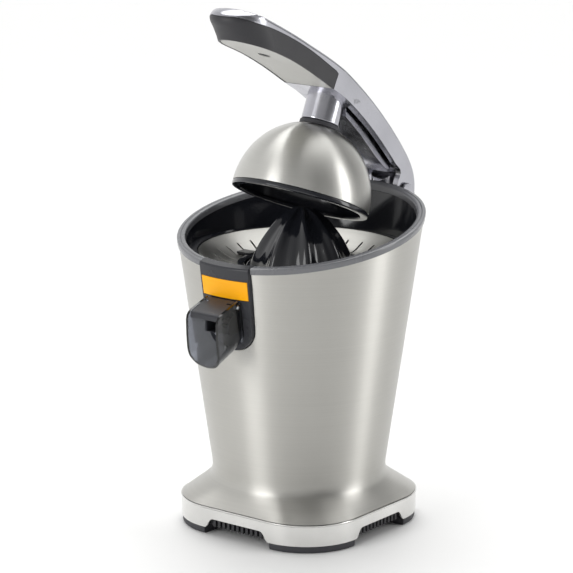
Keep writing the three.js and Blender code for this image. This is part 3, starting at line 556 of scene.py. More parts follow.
# %% [markdown]
# ## The body
# The body is one sheet of steel, round at the rim and a rounded square at the foot. Its radius
# grows evenly with height, and near the foot each level is a mix of a circle and the rounded
# square. The rim lies in a plane that rises ten degrees to the back, so a ring there is found where
# the taper meets that plane.

# %% Rings of the body
TAPER_R = 86.75  # radius at TAPER_Z
TAPER_Z = 210.0
TAPER = 0.144  # radius gained per millimetre of height
RIM_Z = 219.9
RIM_SLOPE = 0.1758
RIM_DEPTH = 4.6
BASE_CORNER = 44.4
SHEET = 1.2
FRONT = (-130, -50)  # y from well ahead of the body to well inside it
SKIRT = [(21.2, 1), (26.2, 0.7), (31, 0.38), (35, 0.15), (39.5, 0.04), (46, 0)]
TURNS = [i * 2 * math.pi / SIDES for i in range(SIDES)]


def body_r(z):
    return TAPER_R + TAPER * (z - TAPER_Z)


def level_ring(off, z):
    r = body_r(z) + off
    return [(r * math.cos(t), BODY_Y + r * math.sin(t), z) for t in TURNS]


def plane_ring(off, drop):
    level = RIM_Z - drop
    ring = []
    for t in TURNS:
        r = (body_r(level) + off) / (1 - TAPER * RIM_SLOPE * math.sin(t))
        back = r * math.sin(t)
        ring.append((r * math.cos(t), BODY_Y + back, level + RIM_SLOPE * back))
    return ring


def square_r(t, half, corner):
    """How far a rounded square reaches in the direction t."""
    c, s = abs(math.cos(t)), abs(math.sin(t))
    core = half - corner
    if half * s <= core * c:
        return half / c
    if half * c <= core * s:
        return half / s
    along = core * (c + s)
    return along + math.sqrt(max(0.0, along * along - 2 * core * core + corner * corner))


def square_ring(half, z, mix=1.0, off=0.0):
    """A rounded square at one height; less than a full mix turns it towards the body's circle."""
    corner = BASE_CORNER - (BASE_HALF - half)
    ring = []
    for t in TURNS:
        r = (1 - mix) * (body_r(z) + off) + mix * square_r(t, half, corner)
        ring.append((r * math.cos(t), BODY_Y + r * math.sin(t), z))
    return ring


def skirt_rings(off):
    return [square_ring(BASE_HALF - 0.3 + off, z, mix, off) for z, mix in smooth_line(SKIRT, 4)]


NOTCH_HALF = 21.8
NOTCH_LOW = 142.8


def arch(half, low, round_r, top, steps=10):
    """An upright panel's outline with its lower corners rounded, as (x, z)."""
    right = [(half, top), (half, 190)]
    for i in range(steps + 1):
        t = i * math.pi / 2 / steps
        x = half - 1 - round_r + round_r * math.cos(t)
        right.append((x, low + round_r - round_r * math.sin(t)))
    return right + [(-x, z) for x, z in reversed(right)]


def front_notch():
    return prism(arch(NOTCH_HALF, NOTCH_LOW, 17, 260), *FRONT, "y")


print("radius at the floor and at the rim:", round(body_r(0), 1), round(body_r(RIM_Z), 1))

# %% [markdown]
# The shell is pressed and welded from thin sheet, so it is skinned outside and inside at once, and
# the two skins meet at the rim and at the foot. A notch takes the spout's panel, and a hole low at
# the back takes the cord's gland.

# %% Steel shell
sheet_top = RIM_DEPTH + GAP
LEVELS = (70, 100, 130, 160)


def sheet_side(off):
    """The rings of one side of the sheet, from the foot to the rim."""
    return [*skirt_rings(off), *(level_ring(off, z) for z in LEVELS), plane_ring(off, sheet_top)]


shell = skin(sheet_side(0) + sheet_side(-SHEET)[::-1], closed=True)
gland_z = sum(span("cord_gland", "z")) / 2
gland_hole = moved(turned(rod(5.6, -75, -50), math.pi / 2, "X"), (0, 0, gland_z))
shell = cut(shell, front_notch(), gland_hole)
publish(shell, "outer_shell", body_steel, edge=0.3)

# %% [markdown]
# The rim is a moulded ring that hides the sheet's edge. Its section has a rounded crest, a fine
# groove where the outer moulding meets the inner lip, and a lip that turns down into the bowl.

# %% Rim ring
RIM_SECTION = [
    (0.9, RIM_DEPTH),
    (0.95, 2.4),
    (0.85, 1.0),
    (0.5, 0.3),
    (-0.2, 0.0),
    (-1.6, 0.0),
    (-2.1, 0.5),
    (-2.6, 0.0),
    (-4.2, 0.05),
    (-5.0, 0.5),
    (-5.4, 1.3),
    (-5.4, RIM_DEPTH),
]
rim = skin([plane_ring(off, drop) for off, drop in RIM_SECTION], closed=True)
publish(cut(rim, front_notch()), "rim_ring", mid_grey, edge=0.25)

# %% [markdown]
# The bowl is one deep moulding under the rim, with a hole in its floor for the drive shaft.

# %% Bowl
DECK_Z = 158.0  # underside of the bowl's floor


def round_ring(radius, z):
    return [(radius * math.cos(t), radius * math.sin(t), z) for t in TURNS]


bowl_rings = [
    round_ring(8.3, DECK_Z),
    level_ring(-3.2, DECK_Z),
    level_ring(-3.2, 190),
    plane_ring(-3.2, sheet_top),
    plane_ring(-5, sheet_top),
    level_ring(-5, 190),
    level_ring(-5, DECK_Z + 8),
    level_ring(-5.6, DECK_Z + 4.4),
    level_ring(-7.4, DECK_Z + 2.7),
    level_ring(-9, DECK_Z + 2.5),
    round_ring(8.3, DECK_Z + 2.5),
]
bowl = cut(skin(bowl_rings, closed=True), front_notch())
publish(bowl, "well_liner", dark_gloss, edge=0.25)
print("body, rim and bowl made, pieces so far:", len(made_pieces))

# %% [markdown]
# ## The foot
# A rolled band of polished steel stands on the base. Its upper edge is turned out into a thin lip
# that catches the light, and between the feet it is cut up in an arch, which shows the black base
# and its vents.

# %% Foot band
FOOT_H = span("foot_front_right", "z")[1]
BAND_SECTION = [
    (0.0, FOOT_H + GAP),
    (0.0, 19.4),
    (0.25, 19.7),
    (0.6, 20.1),
    (0.62, 20.6),
    (0.4, 20.9),
    (-1.2, 20.9),
    (-1.6, 20.5),
    (-1.6, FOOT_H + GAP),
]
ARCH_SIDE = [(21, 12.4), (22.6, 12), (24, 10.9), (25.4, 8.9), (26.8, 6.6), (28, 5.4), (28.4, 4)]


def between_feet(lift=0.0, narrow=0.0):
    """Outline of the arch between two feet, as (across, z)."""
    right = [(t - narrow, z + lift) for t, z in smooth_line(ARCH_SIDE, 4)]
    right.append((ARCH_SIDE[-1][0] - narrow, -2))
    return right + [(-t, z) for t, z in reversed(right)]


def both_arches(lift=0.0, narrow=0.0):
    across_y = prism(between_feet(lift, narrow), -110, 110, "y")
    shifted = [(BODY_Y + t, z) for t, z in between_feet(lift, narrow)]
    return [across_y, prism(shifted, -110, 110, "x")]


band = skin([square_ring(BASE_HALF + off, z) for off, z in BAND_SECTION], closed=True)
publish(cut(band, *both_arches()), "base_band", band_metal, edge=0.2)

# %% [markdown]
# The base closes the body from below. Under each arch it shows as a low dark moulding with a row
# of vent teeth, and five slots let air in under the motor.

# %% Base with vents
TOOTH_PITCH = 4.2
TEETH_A_SIDE = 11
PLATE_LOW, PLATE_HIGH = 8.6, 11.6


def square_slab(half, low, high, rounding=0.0):
    rings = [square_ring(half, low), square_ring(half, high)]
    if rounding:
        rings.insert(0, square_ring(half - rounding, low - rounding * 0.8))
    return skin(rings)


def corner_block(side_x, side_y, inner, low, high):
    xs = sorted((side_x * inner, side_x * 100))
    ys = sorted((side_y * inner, side_y * 100))
    return block(xs[0], xs[1], BODY_Y + ys[0], BODY_Y + ys[1], low, high)


CORNERS = {
    "foot_front_right": (1, -1),
    "foot_front_left": (-1, -1),
    "foot_rear_right": (1, 1),
    "foot_rear_left": (-1, 1),
}
plate = square_slab(69.6, PLATE_LOW, PLATE_HIGH)
wall = cut(square_slab(69.6, 6.6, 9), square_slab(67.4, 0, 20))
pads = [
    common(
        cut(square_slab(71.6, FOOT_H + GAP, 9), square_slab(60, 0, 20)),
        corner_block(*sides, 29.5, 0, 12),
    )
    for sides in CORNERS.values()
]
teeth = []
for i in range(TEETH_A_SIDE):
    t = (i - (TEETH_A_SIDE - 1) / 2) * TOOTH_PITCH
    for quarter in range(4):
        tooth = block(t - 1.1, t + 1.1, -71.9, -69, 6.6, 11.6)
        teeth.append(moved(turned(tooth, quarter * math.pi / 2), (0, BODY_Y, 0)))
vents = [block(x - 1.5, x + 1.5, 14, 44, 5, 14) for x in (-20, -10, 0, 10, 20)]
base = cut(joined(plate, wall, *pads, *teeth), *vents)
publish(base, "base_plate", black_grain, edge=0.25)
print("vent teeth", len(teeth))

# %% [markdown]
# Four rubber feet sit under the corners. Each follows the band's corner and is a little smaller at
# the floor.

# %% Feet
for node, sides in CORNERS.items():
    rings = [(71.4, 0), (72.3, 0.4), (72.8, 1.3), (72.9, FOOT_H)]
    whole = skin([square_ring(half, z) for half, z in rings])
    hollow = square_slab(58, -1, FOOT_H + 1)
    foot = common(cut(whole, hollow), corner_block(*sides, 29.5, -1, FOOT_H + 1))
    publish(foot, node, rubber, edge=0.6)

# %% [markdown]
# ## The lever
# The lever is a die-casting with a crown that runs from its round nose to the cheeks round the
# hinge pin. Its side outline is a list of paired points, one on the crest and one on the lower
# edge, with a smooth line through them, and its section has a nearly flat top that rolls over at
# the edges. The casting, the grip band and the plate are all cut from this one outside.

# %% Lever outside
ARM_HALF = 22.0
ARM_PAIRS = [
    (-97, 379, -97, 366.9),
    (-90, 382.3, -92, 365),
    (-84, 383, -87, 363.1),
    (-71, 380.8, -78, 359.7),
    (-60, 376.1, -67, 355.5),
    (-45.6, 369.3, -54, 350.2),
    (-30.7, 362, -41, 344.7),
    (-15.4, 353.8, -28, 338.2),
    (6.4, 342, -8, 327),
    (24.2, 331.2, 8, 317.5),
    (40.2, 319.4, 24, 308),
    (57.6, 305.3, 41, 295.4),
    (75.1, 289.7, 60, 279.2),
    (88.4, 276.6, 75, 264.8),
    (99.2, 265, 88, 251.2),
    (108.2, 253.7, 95.6, 242),
    (112.2, 247.4, 92, 235),
    (114.8, 241.6, 91.2, 228),
    (116, 236.8, 94, 220.6),
    (116.1, 233.4, 101, 217.6),
    (115.6, 229.8, 108.6, 219.4),
    (114.8, 226.8, 112.8, 222.8),
]
SHOULDER_DROP = 5.0
# Share of the half width, and how far below the crest the section is there.
SHOULDER = [
    (1, SHOULDER_DROP),
    (0.995, 4.1),
    (0.975, 3.3),
    (0.94, 2.75),
    (0.88, 2.3),
    (0.78, 1.8),
    (0.62, 1.15),
    (0.4, 0.5),
    (0.2, 0.13),
    (0, 0),
]


def arm_half(y, z):
    """Half the lever's width, which narrows by 4 mm towards the hinge."""
    back = min(max((330 - z) / 70, 0), 1) if y > 0 else 0
    return ARM_HALF - 4 * back


def arm_ring(cy, cz, uy, uz):
    """The lever's section through one pair of points: up a side, over the crown, down the other."""
    depth = math.hypot(uy - cy, uz - cz)
    down = ((uy - cy) / depth, (uz - cz) / depth)
    half = arm_half(cy, cz)
    roll = min(SHOULDER_DROP, depth * 0.8)
    sunk = [(1, depth - (depth - roll) * share) for share in (0, 0.25, 0.5, 0.75)]
    sunk += [(share, sink * roll / SHOULDER_DROP) for share, sink in SHOULDER]
    side = [(share * half, cy + down[0] * sink, cz + down[1] * sink) for share, sink in sunk]
    return side + [(-x, y, z) for x, y, z in reversed(side[:-1])]


def arm_outside():
    return skin([arm_ring(*pair) for pair in smooth_line(ARM_PAIRS, 4)])


# Height, the nose's front there, and how much narrower the lever is.
NOSE = [
    (340, -75, 0),
    (358, -81.2, 0),
    (364, -83.9, 0),
    (370, -87.4, 0),
    (374, -89.8, 0),
    (376, -90.2, 0.3),
    (378, -89.7, 1.1),
    (379.6, -88.5, 2.5),
    (381, -86.4, 4.6),
    (382.2, -83.2, 7.8),
    (383.1, -78.6, 12),
]


def nose_plan(inset=0.0):
    """The lever's plan with its round nose, which bulges forward under the crown."""
    rings = []
    for z, front, narrow in smooth_line(NOSE, 3):
        half = ARM_HALF - inset - narrow
        arc = [math.pi * i / 32 for i in range(33)]
        tip = front + inset
        ring = [(half * math.cos(t), tip + 1.05 * half * (1 - math.sin(t)), z) for t in arc]
        rings.append([(-half, 300, z), *reversed(ring), (half, 300, z)])
    low = [(x, y + 50.4, 200) for x, y, _ in rings[0]]
    high = [(x, y, 400) for x, y, _ in rings[-1]]
    return skin([low, *rings, high])


def whole_arm():
    return common(arm_outside(), nose_plan())


outside = whole_arm()
print("lever outside:", round(outside.calc_volume() / MM), "cm3")
outside.free()

# %% [markdown]
# The grip's place is below the crown and ahead of a slanted end, and its lower face is the plate
# that closes the handle. These two cutting shapes share their lines with the frame's solids.

# %% Cutting shapes for the grip
CROWN_LINE = [
    (-140, 381.4),
    (-86, 378.2),
    (-78, 374.6),
    (-62.2, 368.9),
    (-39.8, 359.3),
    (-20.1, 349.2),
    (11.6, 329.6),
]
GRIP_LINE = [
    (-140, 383),
    (-90, 364.2),
    (-62.2, 353.6),
    (-39.8, 344.1),
    (-20.1, 334),
    (6.2, 318.6),
    (40, 298),
]
GRIP_WALL = 1.5
GRIP_PLATE = 4.0


def grip_zone(grow=0.0):
    line = [CROWN_LINE[0], *smooth_line(CROWN_LINE[1:], 5)]
    rear = [(13.6 + grow, 327.4), (5 + grow, 312), (-10, 300), (-140, 300)]
    return prism([(y, z + grow) for y, z in line] + rear, -40, 40, "x")


def grip_side(lift, far):
    line = [GRIP_LINE[0], *smooth_line(GRIP_LINE[1:], 5)]
    return prism([(y, z + lift) for y, z in line] + [(40, far), (-140, far)], -40, 40, "x")


def along_lever(bm, origin):
    """Turns a shape made round Z to the dome's axis and moves it there."""
    return moved(turned(bm, -TILT, "X"), origin)


BOSS_R = 14.0
FLARE = [(BOSS_R, 66), (14.3, 68.4), (15.6, 71.2), (18.4, 74.2), (22, 76.4), (26, 78)]


def boss_flare(grow=0.0):
    side = [(r + grow, z) for r, z in smooth_line(FLARE, 3)]
    profile = [(0, 60), (BOSS_R + grow, 60), *side, (26 + grow, 92), (0, 92)]
    return along_lever(spun(profile, 64, closed=False), DOME)


GRIP_SCREW = Vector((0, -43, 345.5))
grip_space = grip_zone()
print("grip's space:", round(grip_space.calc_volume() / MM), "cm3")
grip_space.free()

# %% [markdown]
# The casting keeps the crown, the sides behind the grip and the cheeks. It is open from below
# behind the boss, to save metal, and a web of steel stiffens it there. The boss flares out where it
# meets the underside, as a casting must to draw from its mould.

# %% Lever casting
CHANNEL = [
    (36, 316),
    (56, 299.6),
    (72.5, 284),
    (85.5, 271),
    (95.6, 259.6),
    (104.4, 248.6),
    (110.4, 241),
    (113, 237.4),
    (113, 233.4),
    (130, 233.4),
    (130, 200),
    (70, 200),
    (70, 258),
    (36, 290),
]


def pin_hole(radius):
    bar = turned(rod(radius, -40, 40, 40), math.pi / 2, "Y")
    return moved(bar, (0, HINGE.y, HINGE.z))


CHANNEL_HALF = 13.6
crown = cut(whole_arm(), grip_zone(GAP), prism(CHANNEL, -CHANNEL_HALF, CHANNEL_HALF, "x"))
flare = common(boss_flare(), whole_arm())
boss_profile = [(0, 55.3), (13.2, 55.3), (13.8, 55.6), (BOSS_R, 56.2), (BOSS_R, 80), (0, 80)]
boss = along_lever(spun(boss_profile, 64, closed=False), DOME)
post = common(along_lever(rod(4, -5, 30), GRIP_SCREW), whole_arm())
post = cut(post, grip_side(GRIP_PLATE + 0.4, 200))
casting = joined(crown, flare, boss, post)
bores = [
    along_lever(rod(3.3, 50, 72), DOME),
    along_lever(rod(1.4, -5, 16), GRIP_SCREW),
    pin_hole(3.25),
]
publish(cut(casting, *bores), "arm_casting", arm_metal, edge=0.3, angle=38, merge=False)

# %% [markdown]
# The band round the handle is a soft moulding, and the plate under it is a satin moulding held by
# one screw set deep in a round pocket.

# %% Grip band, plate and screw
band_shape = cut(common(whole_arm(), grip_zone()), grip_side(0, 200))
grip = cut(band_shape, nose_plan(GRIP_WALL), boss_flare(GAP))
publish(grip, "grip_band", charcoal, edge=0.3, angle=38)
slab = common(whole_arm(), nose_plan(GRIP_WALL + GAP), grip_zone())
under = cut(slab, grip_side(GRIP_PLATE, 420), grip_side(0.2, 200), boss_flare(GAP))
pocket = [
    along_lever(rod(2, -10, 20), GRIP_SCREW),
    along_lever(rod(4.6, -10, 1.9, 48), GRIP_SCREW),
]
publish(cut(under, *pocket), "grip_underplate", plate_grey, edge=0.25, angle=38)


def cross_recess(width, length, depth, low):
    """The cross in a screw head, cut upwards from its face at low."""
    arm = width / 2
    reach = length / 2
    return [
        block(-reach, reach, -arm, arm, low - 1, low + depth),
        block(-arm, arm, -reach, reach, low - 1, low + depth),
    ]


head = [(0, 0.4), (3.4, 0.4), (4.2, 0.9), (4.2, 1.6), (1.1, 1.6), (1.1, 13), (0, 13)]
screw = cut(spun(head, 40, closed=False), *cross_recess(0.9, 4.2, 0.7, 0.4))
publish(along_lever(screw, GRIP_SCREW), "grip_screw", black_grain, edge=0.15)
print("lever made, pieces so far:", len(made_pieces))

# %% [markdown]
# ## The hinge
# A post rises from the back of the body into the lever's cheeks, and a steel pin runs through them
# all, with a low round cap over each end.

# %% Hinge
publish(from_frame("hinge_post"), "hinge_post", arm_metal, edge=0.5, angle=30)
publish(from_frame("arm_core"), "arm_core", arm_metal, edge=0.5, angle=30)
publish(from_frame("hinge_pin"), "hinge_pin", zinc, edge=0.3)
CAP = [(0, 0), (5.9, 0), (6.2, 0.4), (6.2, 1.1), (5.6, 1.7), (3, 2.05), (0, 2.1)]
for node, side in (("pin_cap_right", 1), ("pin_cap_left", -1)):
    start = min(abs(v) for v in span(node, "x"))
    cap = moved(spun(CAP, 48, closed=False), (0, 0, start))
    cap = turned(cap, side * math.pi / 2, "Y")
    publish(moved(cap, (0, HINGE.y, HINGE.z)), node, arm_metal, edge=0)

# %% [markdown]
# ## The press dome
# The dome is pressed from steel sheet and its section is close to half an ellipse, so a profile of
# two ellipses, one inside the other, is spun round the dome's axis.

# %% Dome
DOME_R = 50.0
DOME_H = 54.0


def ellipse(a, b, flat_r, steps):
    """Points of a quarter ellipse from its foot up to where its radius is flat_r."""
    end = math.acos(flat_r / a)
    turns = [end * i / steps for i in range(steps + 1)]
    return [(a * math.cos(t), b * math.sin(t)) for t in turns]


outer = ellipse(DOME_R, DOME_H, 14.9, 36)
inner = ellipse(DOME_R - SHEET, DOME_H - SHEET, 12, 36)
SCREW_HOLE = 3.4
dome_profile = outer + [(SCREW_HOLE, outer[-1][1]), (SCREW_HOLE, inner[-1][1])] + inner[::-1]
publish(along_lever(spun(dome_profile, 144), DOME), "press_dome", dome_steel, edge=0.2)

# %% [markdown]
# A black liner fills the dome from below, with a thick edge that grips the fruit and four thin fins
# inside that keep it from turning with the reamer. The fins are trimmed between two ellipses, so
# that they follow the wall.

# %% Dome liner
liner_out = ellipse(48.5, 52, 12, 24)
liner_in = ellipse(46, 47.6, 4, 24)
LINER_RIM = [
    (44.6, -1.4),
    (44.4, -2.6),
    (44.8, -3.4),
    (45.6, -3.65),
    (48.8, -3.65),
    (49.6, -3.4),
    (50, -2.8),
    (50, -0.8),
    (49.7, -0.3),
    (48.5, -0.3),
]
liner_top = [(SCREW_HOLE, liner_out[-1][1]), (SCREW_HOLE, liner_in[-1][1])]
liner_profile = liner_out + liner_top + liner_in[::-1] + LINER_RIM
free_inside = [(0, 2), (43, 2), *ellipse(43, 44.6, 4, 16)[1:], (0, 44.4)]
fin_space = [(0, 2), (47, 2), *ellipse(47, 48.6, 4, 16)[1:], (0, 48.4)]
fins = []
for quarter in range(4):
    fin = turned(block(19, 49, -1, 1, 3, 37), quarter * math.pi / 2)
    fin = common(fin, spun(fin_space, 48, closed=False))
    fins.append(cut(fin, spun(free_inside, 48, closed=False)))
liner = joined(spun(liner_profile, 144), *fins)
publish(along_lever(liner, DOME), "dome_liner", dark_gloss, edge=0.2)

# %% [markdown]
# A rubber washer keeps the dome off the boss, and one long screw from inside holds the dome, its
# liner and the washer.

# %% Washer and screw
collar_low = DOME_H * math.sqrt(1 - (15 / DOME_R) ** 2) + GAP
collar = [
    (SCREW_HOLE, collar_low),
    (14.6, collar_low),
    (14.6, 54.3),
    (14.3, 54.8),
    (13.8, 55),
    (SCREW_HOLE, 55),
]
publish(along_lever(spun(collar, 72), DOME), "dome_collar", rubber, edge=0.12)
dome_head = [(0, 43.6), (5.6, 43.6), (6.6, 44.6), (6.6, 46.6), (3, 46.6), (3, 69), (0, 69)]
dome_screw = cut(spun(dome_head, 40, closed=False), *cross_recess(1.4, 7, 1.2, dome_head[0][1]))
publish(along_lever(dome_screw, DOME), "dome_screw", zinc, edge=0.15)
print("dome made, pieces so far:", len(made_pieces))

# %% [markdown]
# ## Reamer, strainer and tray
# The reamer is a pointed cone with ridges that run up to its tip. Its skin is a set of rings whose
# radius swells at each ridge, over a plain flange, and it is hollow from below, with a six-sided
# socket for the drive shaft.

# %% Reamer
# Radius and height along a ridge.
OGIVE = [(37.5, 189.6), (36.4, 193), (33.4, 200), (29, 208), (22.6, 217), (15, 225), (7, 230)]
RIDGES = 8


def ridged_ring(radius, z):
    """A ring that is `radius` out on the ridges and a little less between them."""
    valley = max(radius - 4.2, radius * 0.62)
    ring = []
    for t in TURNS:
        ridge = abs(math.cos(t * RIDGES / 2)) ** 5
        r = valley + (radius - valley) * ridge
        ring.append((r * math.cos(t), r * math.sin(t), z))
    return ring


FLANGE_R = 40.5
flange_top = CONE_LOW + 2.6
cone_rings = [
    round_ring(34, CONE_LOW),
    round_ring(FLANGE_R - 0.4, CONE_LOW),
    round_ring(FLANGE_R, CONE_LOW + 0.4),
    round_ring(FLANGE_R, CONE_LOW + 1.6),
    round_ring(39.4, flange_top - 0.2),
    round_ring(38.4, flange_top),
]
cone_rings += [ridged_ring(r, z) for r, z in smooth_line(OGIVE, 5)]
cone_rings += [ridged_ring(4, 230.9), ridged_ring(1.6, CONE_TOP)]
cone_rings += [round_ring(0.4, CONE_TOP), round_ring(0.4, 213)]
HOLLOW = [(18, 212.6), (22.5, 206), (27, 198), (30.5, 190)]
cone_rings += [round_ring(r, z) for r, z in HOLLOW]
cone = skin(cone_rings, closed=True)
hub = rod(9.9, 188.4, 214, 48)
tip_fill = rod(1.2, 212, 230, 24)
ceiling = rod(20, 212.4, 214.4, 48)
socket = rod(5.1, 185, 212.4, 6)
cone = cut(joined(cone, hub, tip_fill, ceiling), socket)
publish(cone, "reamer_cone", dark_gloss, edge=0.3, angle=40)

# %% [markdown]
# The strainer is a shallow steel bowl with a rolled edge. Radial slots let the juice through and
# keep the pips back, and each slot is a thin block turned to its place.

# %% Strainer
STRAINER_SECTION = [
    (74.5, 198.9),
    (74.4, 199.6),
    (73.8, 200.1),
    (73.1, 200),
    (70, 197.6),
    (64, 193.6),
    (57, 189.5),
    (52, 188.3),
    (44, 187.8),
    (44, 186.8),
    (52.2, 187.3),
    (57.3, 188.4),
    (64.6, 192.5),
    (70.6, 196.5),
    (73.2, 198.5),
    (74.2, 198.4),
]
SIEVE_SLOTS = 32
SLOT_HALF = 0.7
sieve = []
for i in range(SIEVE_SLOTS):
    thin = block(51, 65, -SLOT_HALF, SLOT_HALF, 182, 197)
    sieve.append(turned(thin, (i + 0.5) * 2 * math.pi / SIEVE_SLOTS))
bowl_sheet = spun(STRAINER_SECTION, 160)
publish(cut(bowl_sheet, *sieve), "strainer", strainer_steel, edge=0.12)

# %% [markdown]
# The strainer is moulded onto a dark hub, a ring round the reamer's foot with a small tab to lift
# it by.

# %% Strainer hub
HUB_SECTION = [
    (41.2, 186.2),
    (43.6, 186.2),
    (43.6, 188.1),
    (47, 188.5),
    (47, 189.7),
    (46.3, 190.3),
    (42, 190.4),
    (41.4, 190.1),
    (41.2, 189.6),
]
tab = cut(block(-56, -44, -4.5, 4.5, 189.6, 191.2), rod(42, 180, 200, 96))
publish(joined(spun(HUB_SECTION, 128), tab), "strainer_hub", dark_gloss, edge=0.25)

# %% [markdown]
# The tray carries the strainer and lifts out with the spout's panel. It follows the body outside
# and is round inside, with a sleeve in the middle that keeps juice off the shaft.

# %% Tray
TRAY_Z = span("juice_tray", "z")[0]
TRAY_SIDE = -5.4  # from the body's outside to the tray's
SLEEVE_R = 15.2
SLEEVE_BORE = 12
CAVITY = [
    (0, 170.6),
    (16, 170.4),
    (64, 166.7),
    (67.5, 167.4),
    (69.6, 170),
    (72.6, 194),
    (72.6, 197.6),
    (75, 197.6),
    (75, 210),
    (0, 210),
]
tray_rings = [
    level_ring(TRAY_SIDE - 3.2, TRAY_Z),
    level_ring(TRAY_SIDE, TRAY_Z + 5),
    level_ring(TRAY_SIDE, 200.4),
]
tray = cut(skin(tray_rings), spun(CAVITY, 128, closed=False))
sleeve = cut(rod(SLEEVE_R, TRAY_Z, 191, 64), rod(SLEEVE_BORE, 160, 195, 64))
front_wall = cut(
    skin([level_ring(-1.2, 166), level_ring(-1.2, 199.5)]),
    skin([level_ring(-5.8, 160), level_ring(-5.8, 206)]),
)
neck = common(front_wall, block(-20.4, 20.4, -100, -50, 160, 199.4))
outlet = block(-9, 9, -100, -62, 167.2, 177)
tray = cut(joined(tray, sleeve, neck), outlet, rod(SLEEVE_BORE, 150, 172, 64))
publish(tray, "juice_tray", dark_gloss, edge=0.25)

# %% [markdown]
# ## Spout
# A plastic panel fills the notch in the steel and stands a little proud of it, with a bright
# insert let into its upper half. Both are cut from the same tapered walls as the body, so they
# follow its curve.

# %% Shapes for the panel
PANEL_PROUD = 3.0
PANEL_BACK = -0.9
PANEL_HALF = 21.4
PIN_BORE = 1.75
INSERT_LOW, INSERT_TOP = 181.6, 195.1


def insert_outline(grow=0.0):
    low, high = INSERT_LOW - grow, INSERT_TOP + grow
    points = [(-19.9 - grow, low), (19.9 + grow, low), (20.1 + grow, high), (-20.1 - grow, high)]
    return prism(points, *FRONT, "y")


def tapered(off, z0, drop):
    """The body's own taper, moved out by off, from a level z0 up to drop below the rim's plane."""
    return skin([level_ring(off, z0), plane_ring(off, drop)])


def tapered_wall(off_out, off_in, z0, drop):
    return cut(tapered(off_out, z0, drop), tapered(off_in, z0 - 10, drop - 1))


def spout_axle(radius, x0=-20, x1=20):
    """A bar on the axis that the scoop tips on."""
    bar = turned(rod(radius, x0, x1, 32), math.pi / 2, "Y")
    return moved(bar, (0, SPOUT.y, SPOUT.z))


print("insert is", round(INSERT_TOP - INSERT_LOW, 1), "mm high, spout pivot at", tuple(SPOUT))

# %% [markdown]
# The panel also has a lip over the rim, an outlet for the juice with a short gutter under it, and
# two ears that carry the scoop's pivots.

# %% Front panel
panel_out = [level_ring(PANEL_PROUD, 130), plane_ring(PANEL_PROUD, 1.6)]
panel_out += [plane_ring(PANEL_PROUD - 0.35, 0.7), plane_ring(PANEL_PROUD - 1.2, 0)]
panel = cut(skin(panel_out), tapered(PANEL_BACK, 120, -6))
panel = common(panel, prism(arch(PANEL_HALF, 143.4, 16.6, 250), *FRONT, "y"))
bore = skin([plane_ring(-5.4, 9), plane_ring(-5.4, 0.8), plane_ring(-4.6, -0.6)])
lip = cut(skin([plane_ring(PANEL_BACK + 1, RIM_DEPTH), plane_ring(PANEL_BACK + 1, 0)]), bore)
lip = common(lip, block(-PANEL_HALF, PANEL_HALF, *FRONT, 150, 260))
EAR = [
    (-84, 171),
    (-84, 179.2),
    (-91, 179.4),
    (-93.2, 178.8),
    (-93.8, 177.6),
    (-93.8, 174.6),
    (-90, 171),
]
OVER_TONGUE = [
    (-100, 152),
    (-100, 163),
    (-92, 171.5),
    (-80, 180),
    (-80, 200),
    (-110, 200),
    (-110, 152),
]
GUTTER = [(-70, 160.5), (-99, 158.2), (-99, 180), (-70, 180)]
tongue = cut(
    block(-10, 10, -97, -82, 158, 171),
    prism(OVER_TONGUE, -20, 20, "x"),
    prism(GUTTER, -8.4, 8.4, "x"),
)
fittings = joined(tongue, prism(EAR, 8.2, 10.2, "x"), prism(EAR, -10.2, -8.2, "x"))
fittings = cut(fittings, tapered(PANEL_BACK, 120, -6))
recess = common(tapered_wall(PANEL_PROUD + 5, PANEL_PROUD - 1.5, 130, -8), insert_outline(GAP))
panel_outlet = block(-8.4, 8.4, -110, -60, 160.6, 176)
panel = cut(joined(panel, lip, fittings), recess, panel_outlet, spout_axle(PIN_BORE))
publish(panel, "front_panel", panel_grey, edge=0.4)

# %% [markdown]
# The insert is a coloured plate pressed into the panel's recess, a hair prouder than the panel.

# %% Insert
insert = common(tapered_wall(PANEL_PROUD + 0.1, PANEL_PROUD - 1.2, 130, -8), insert_outline())
publish(insert, "accent_plate", accent, edge=0.35)

# %% [markdown]
# The scoop carries the juice clear of the body, and tipping it up stops the last drips. It has
# straight cheeks on a round bottom that slopes down to the front. A section pushed along the slope
# gives the channel, and a side outline trims it.

# %% Scoop
SPOUT_HALF = 14.2
SPOUT_WALL = 1.9
SPOUT_LOW = 134
FALL = 0.42  # millimetres down for each one forwards
FALL_Y = -108
SCOOP_SIDE = [
    (-80, 142),
    (-80, 169),
    (-88.1, 175.6),
    (-88.3, 179),
    (-90.2, 181.4),
    (-107.4, 175.6),
    (-110.4, 174.2),
    (-112.2, 172),
    (-113, 169),
    (-112.7, 158),
    (-111.8, 149),
    (-110.2, 142.2),
    (-108, 137),
    (-105.2, 133.2),
    (-102.4, 131),
    (-99, 130),
]


def scoop_section(half, low, y0, y1, steps=24):
    """The channel's outline pushed from y0 to y1, falling to the front."""
    arc = [math.pi * i / steps for i in range(steps + 1)]
    outline = [(half, 215)]
    outline += [(half * math.cos(t), low + half - half * math.sin(t)) for t in arc]
    outline.append((-half, 215))
    bm = prism(outline, y0, y1, "y")
    for vert in bm.verts:
        vert.co.z += FALL * (vert.co.y - FALL_Y)
    return bm


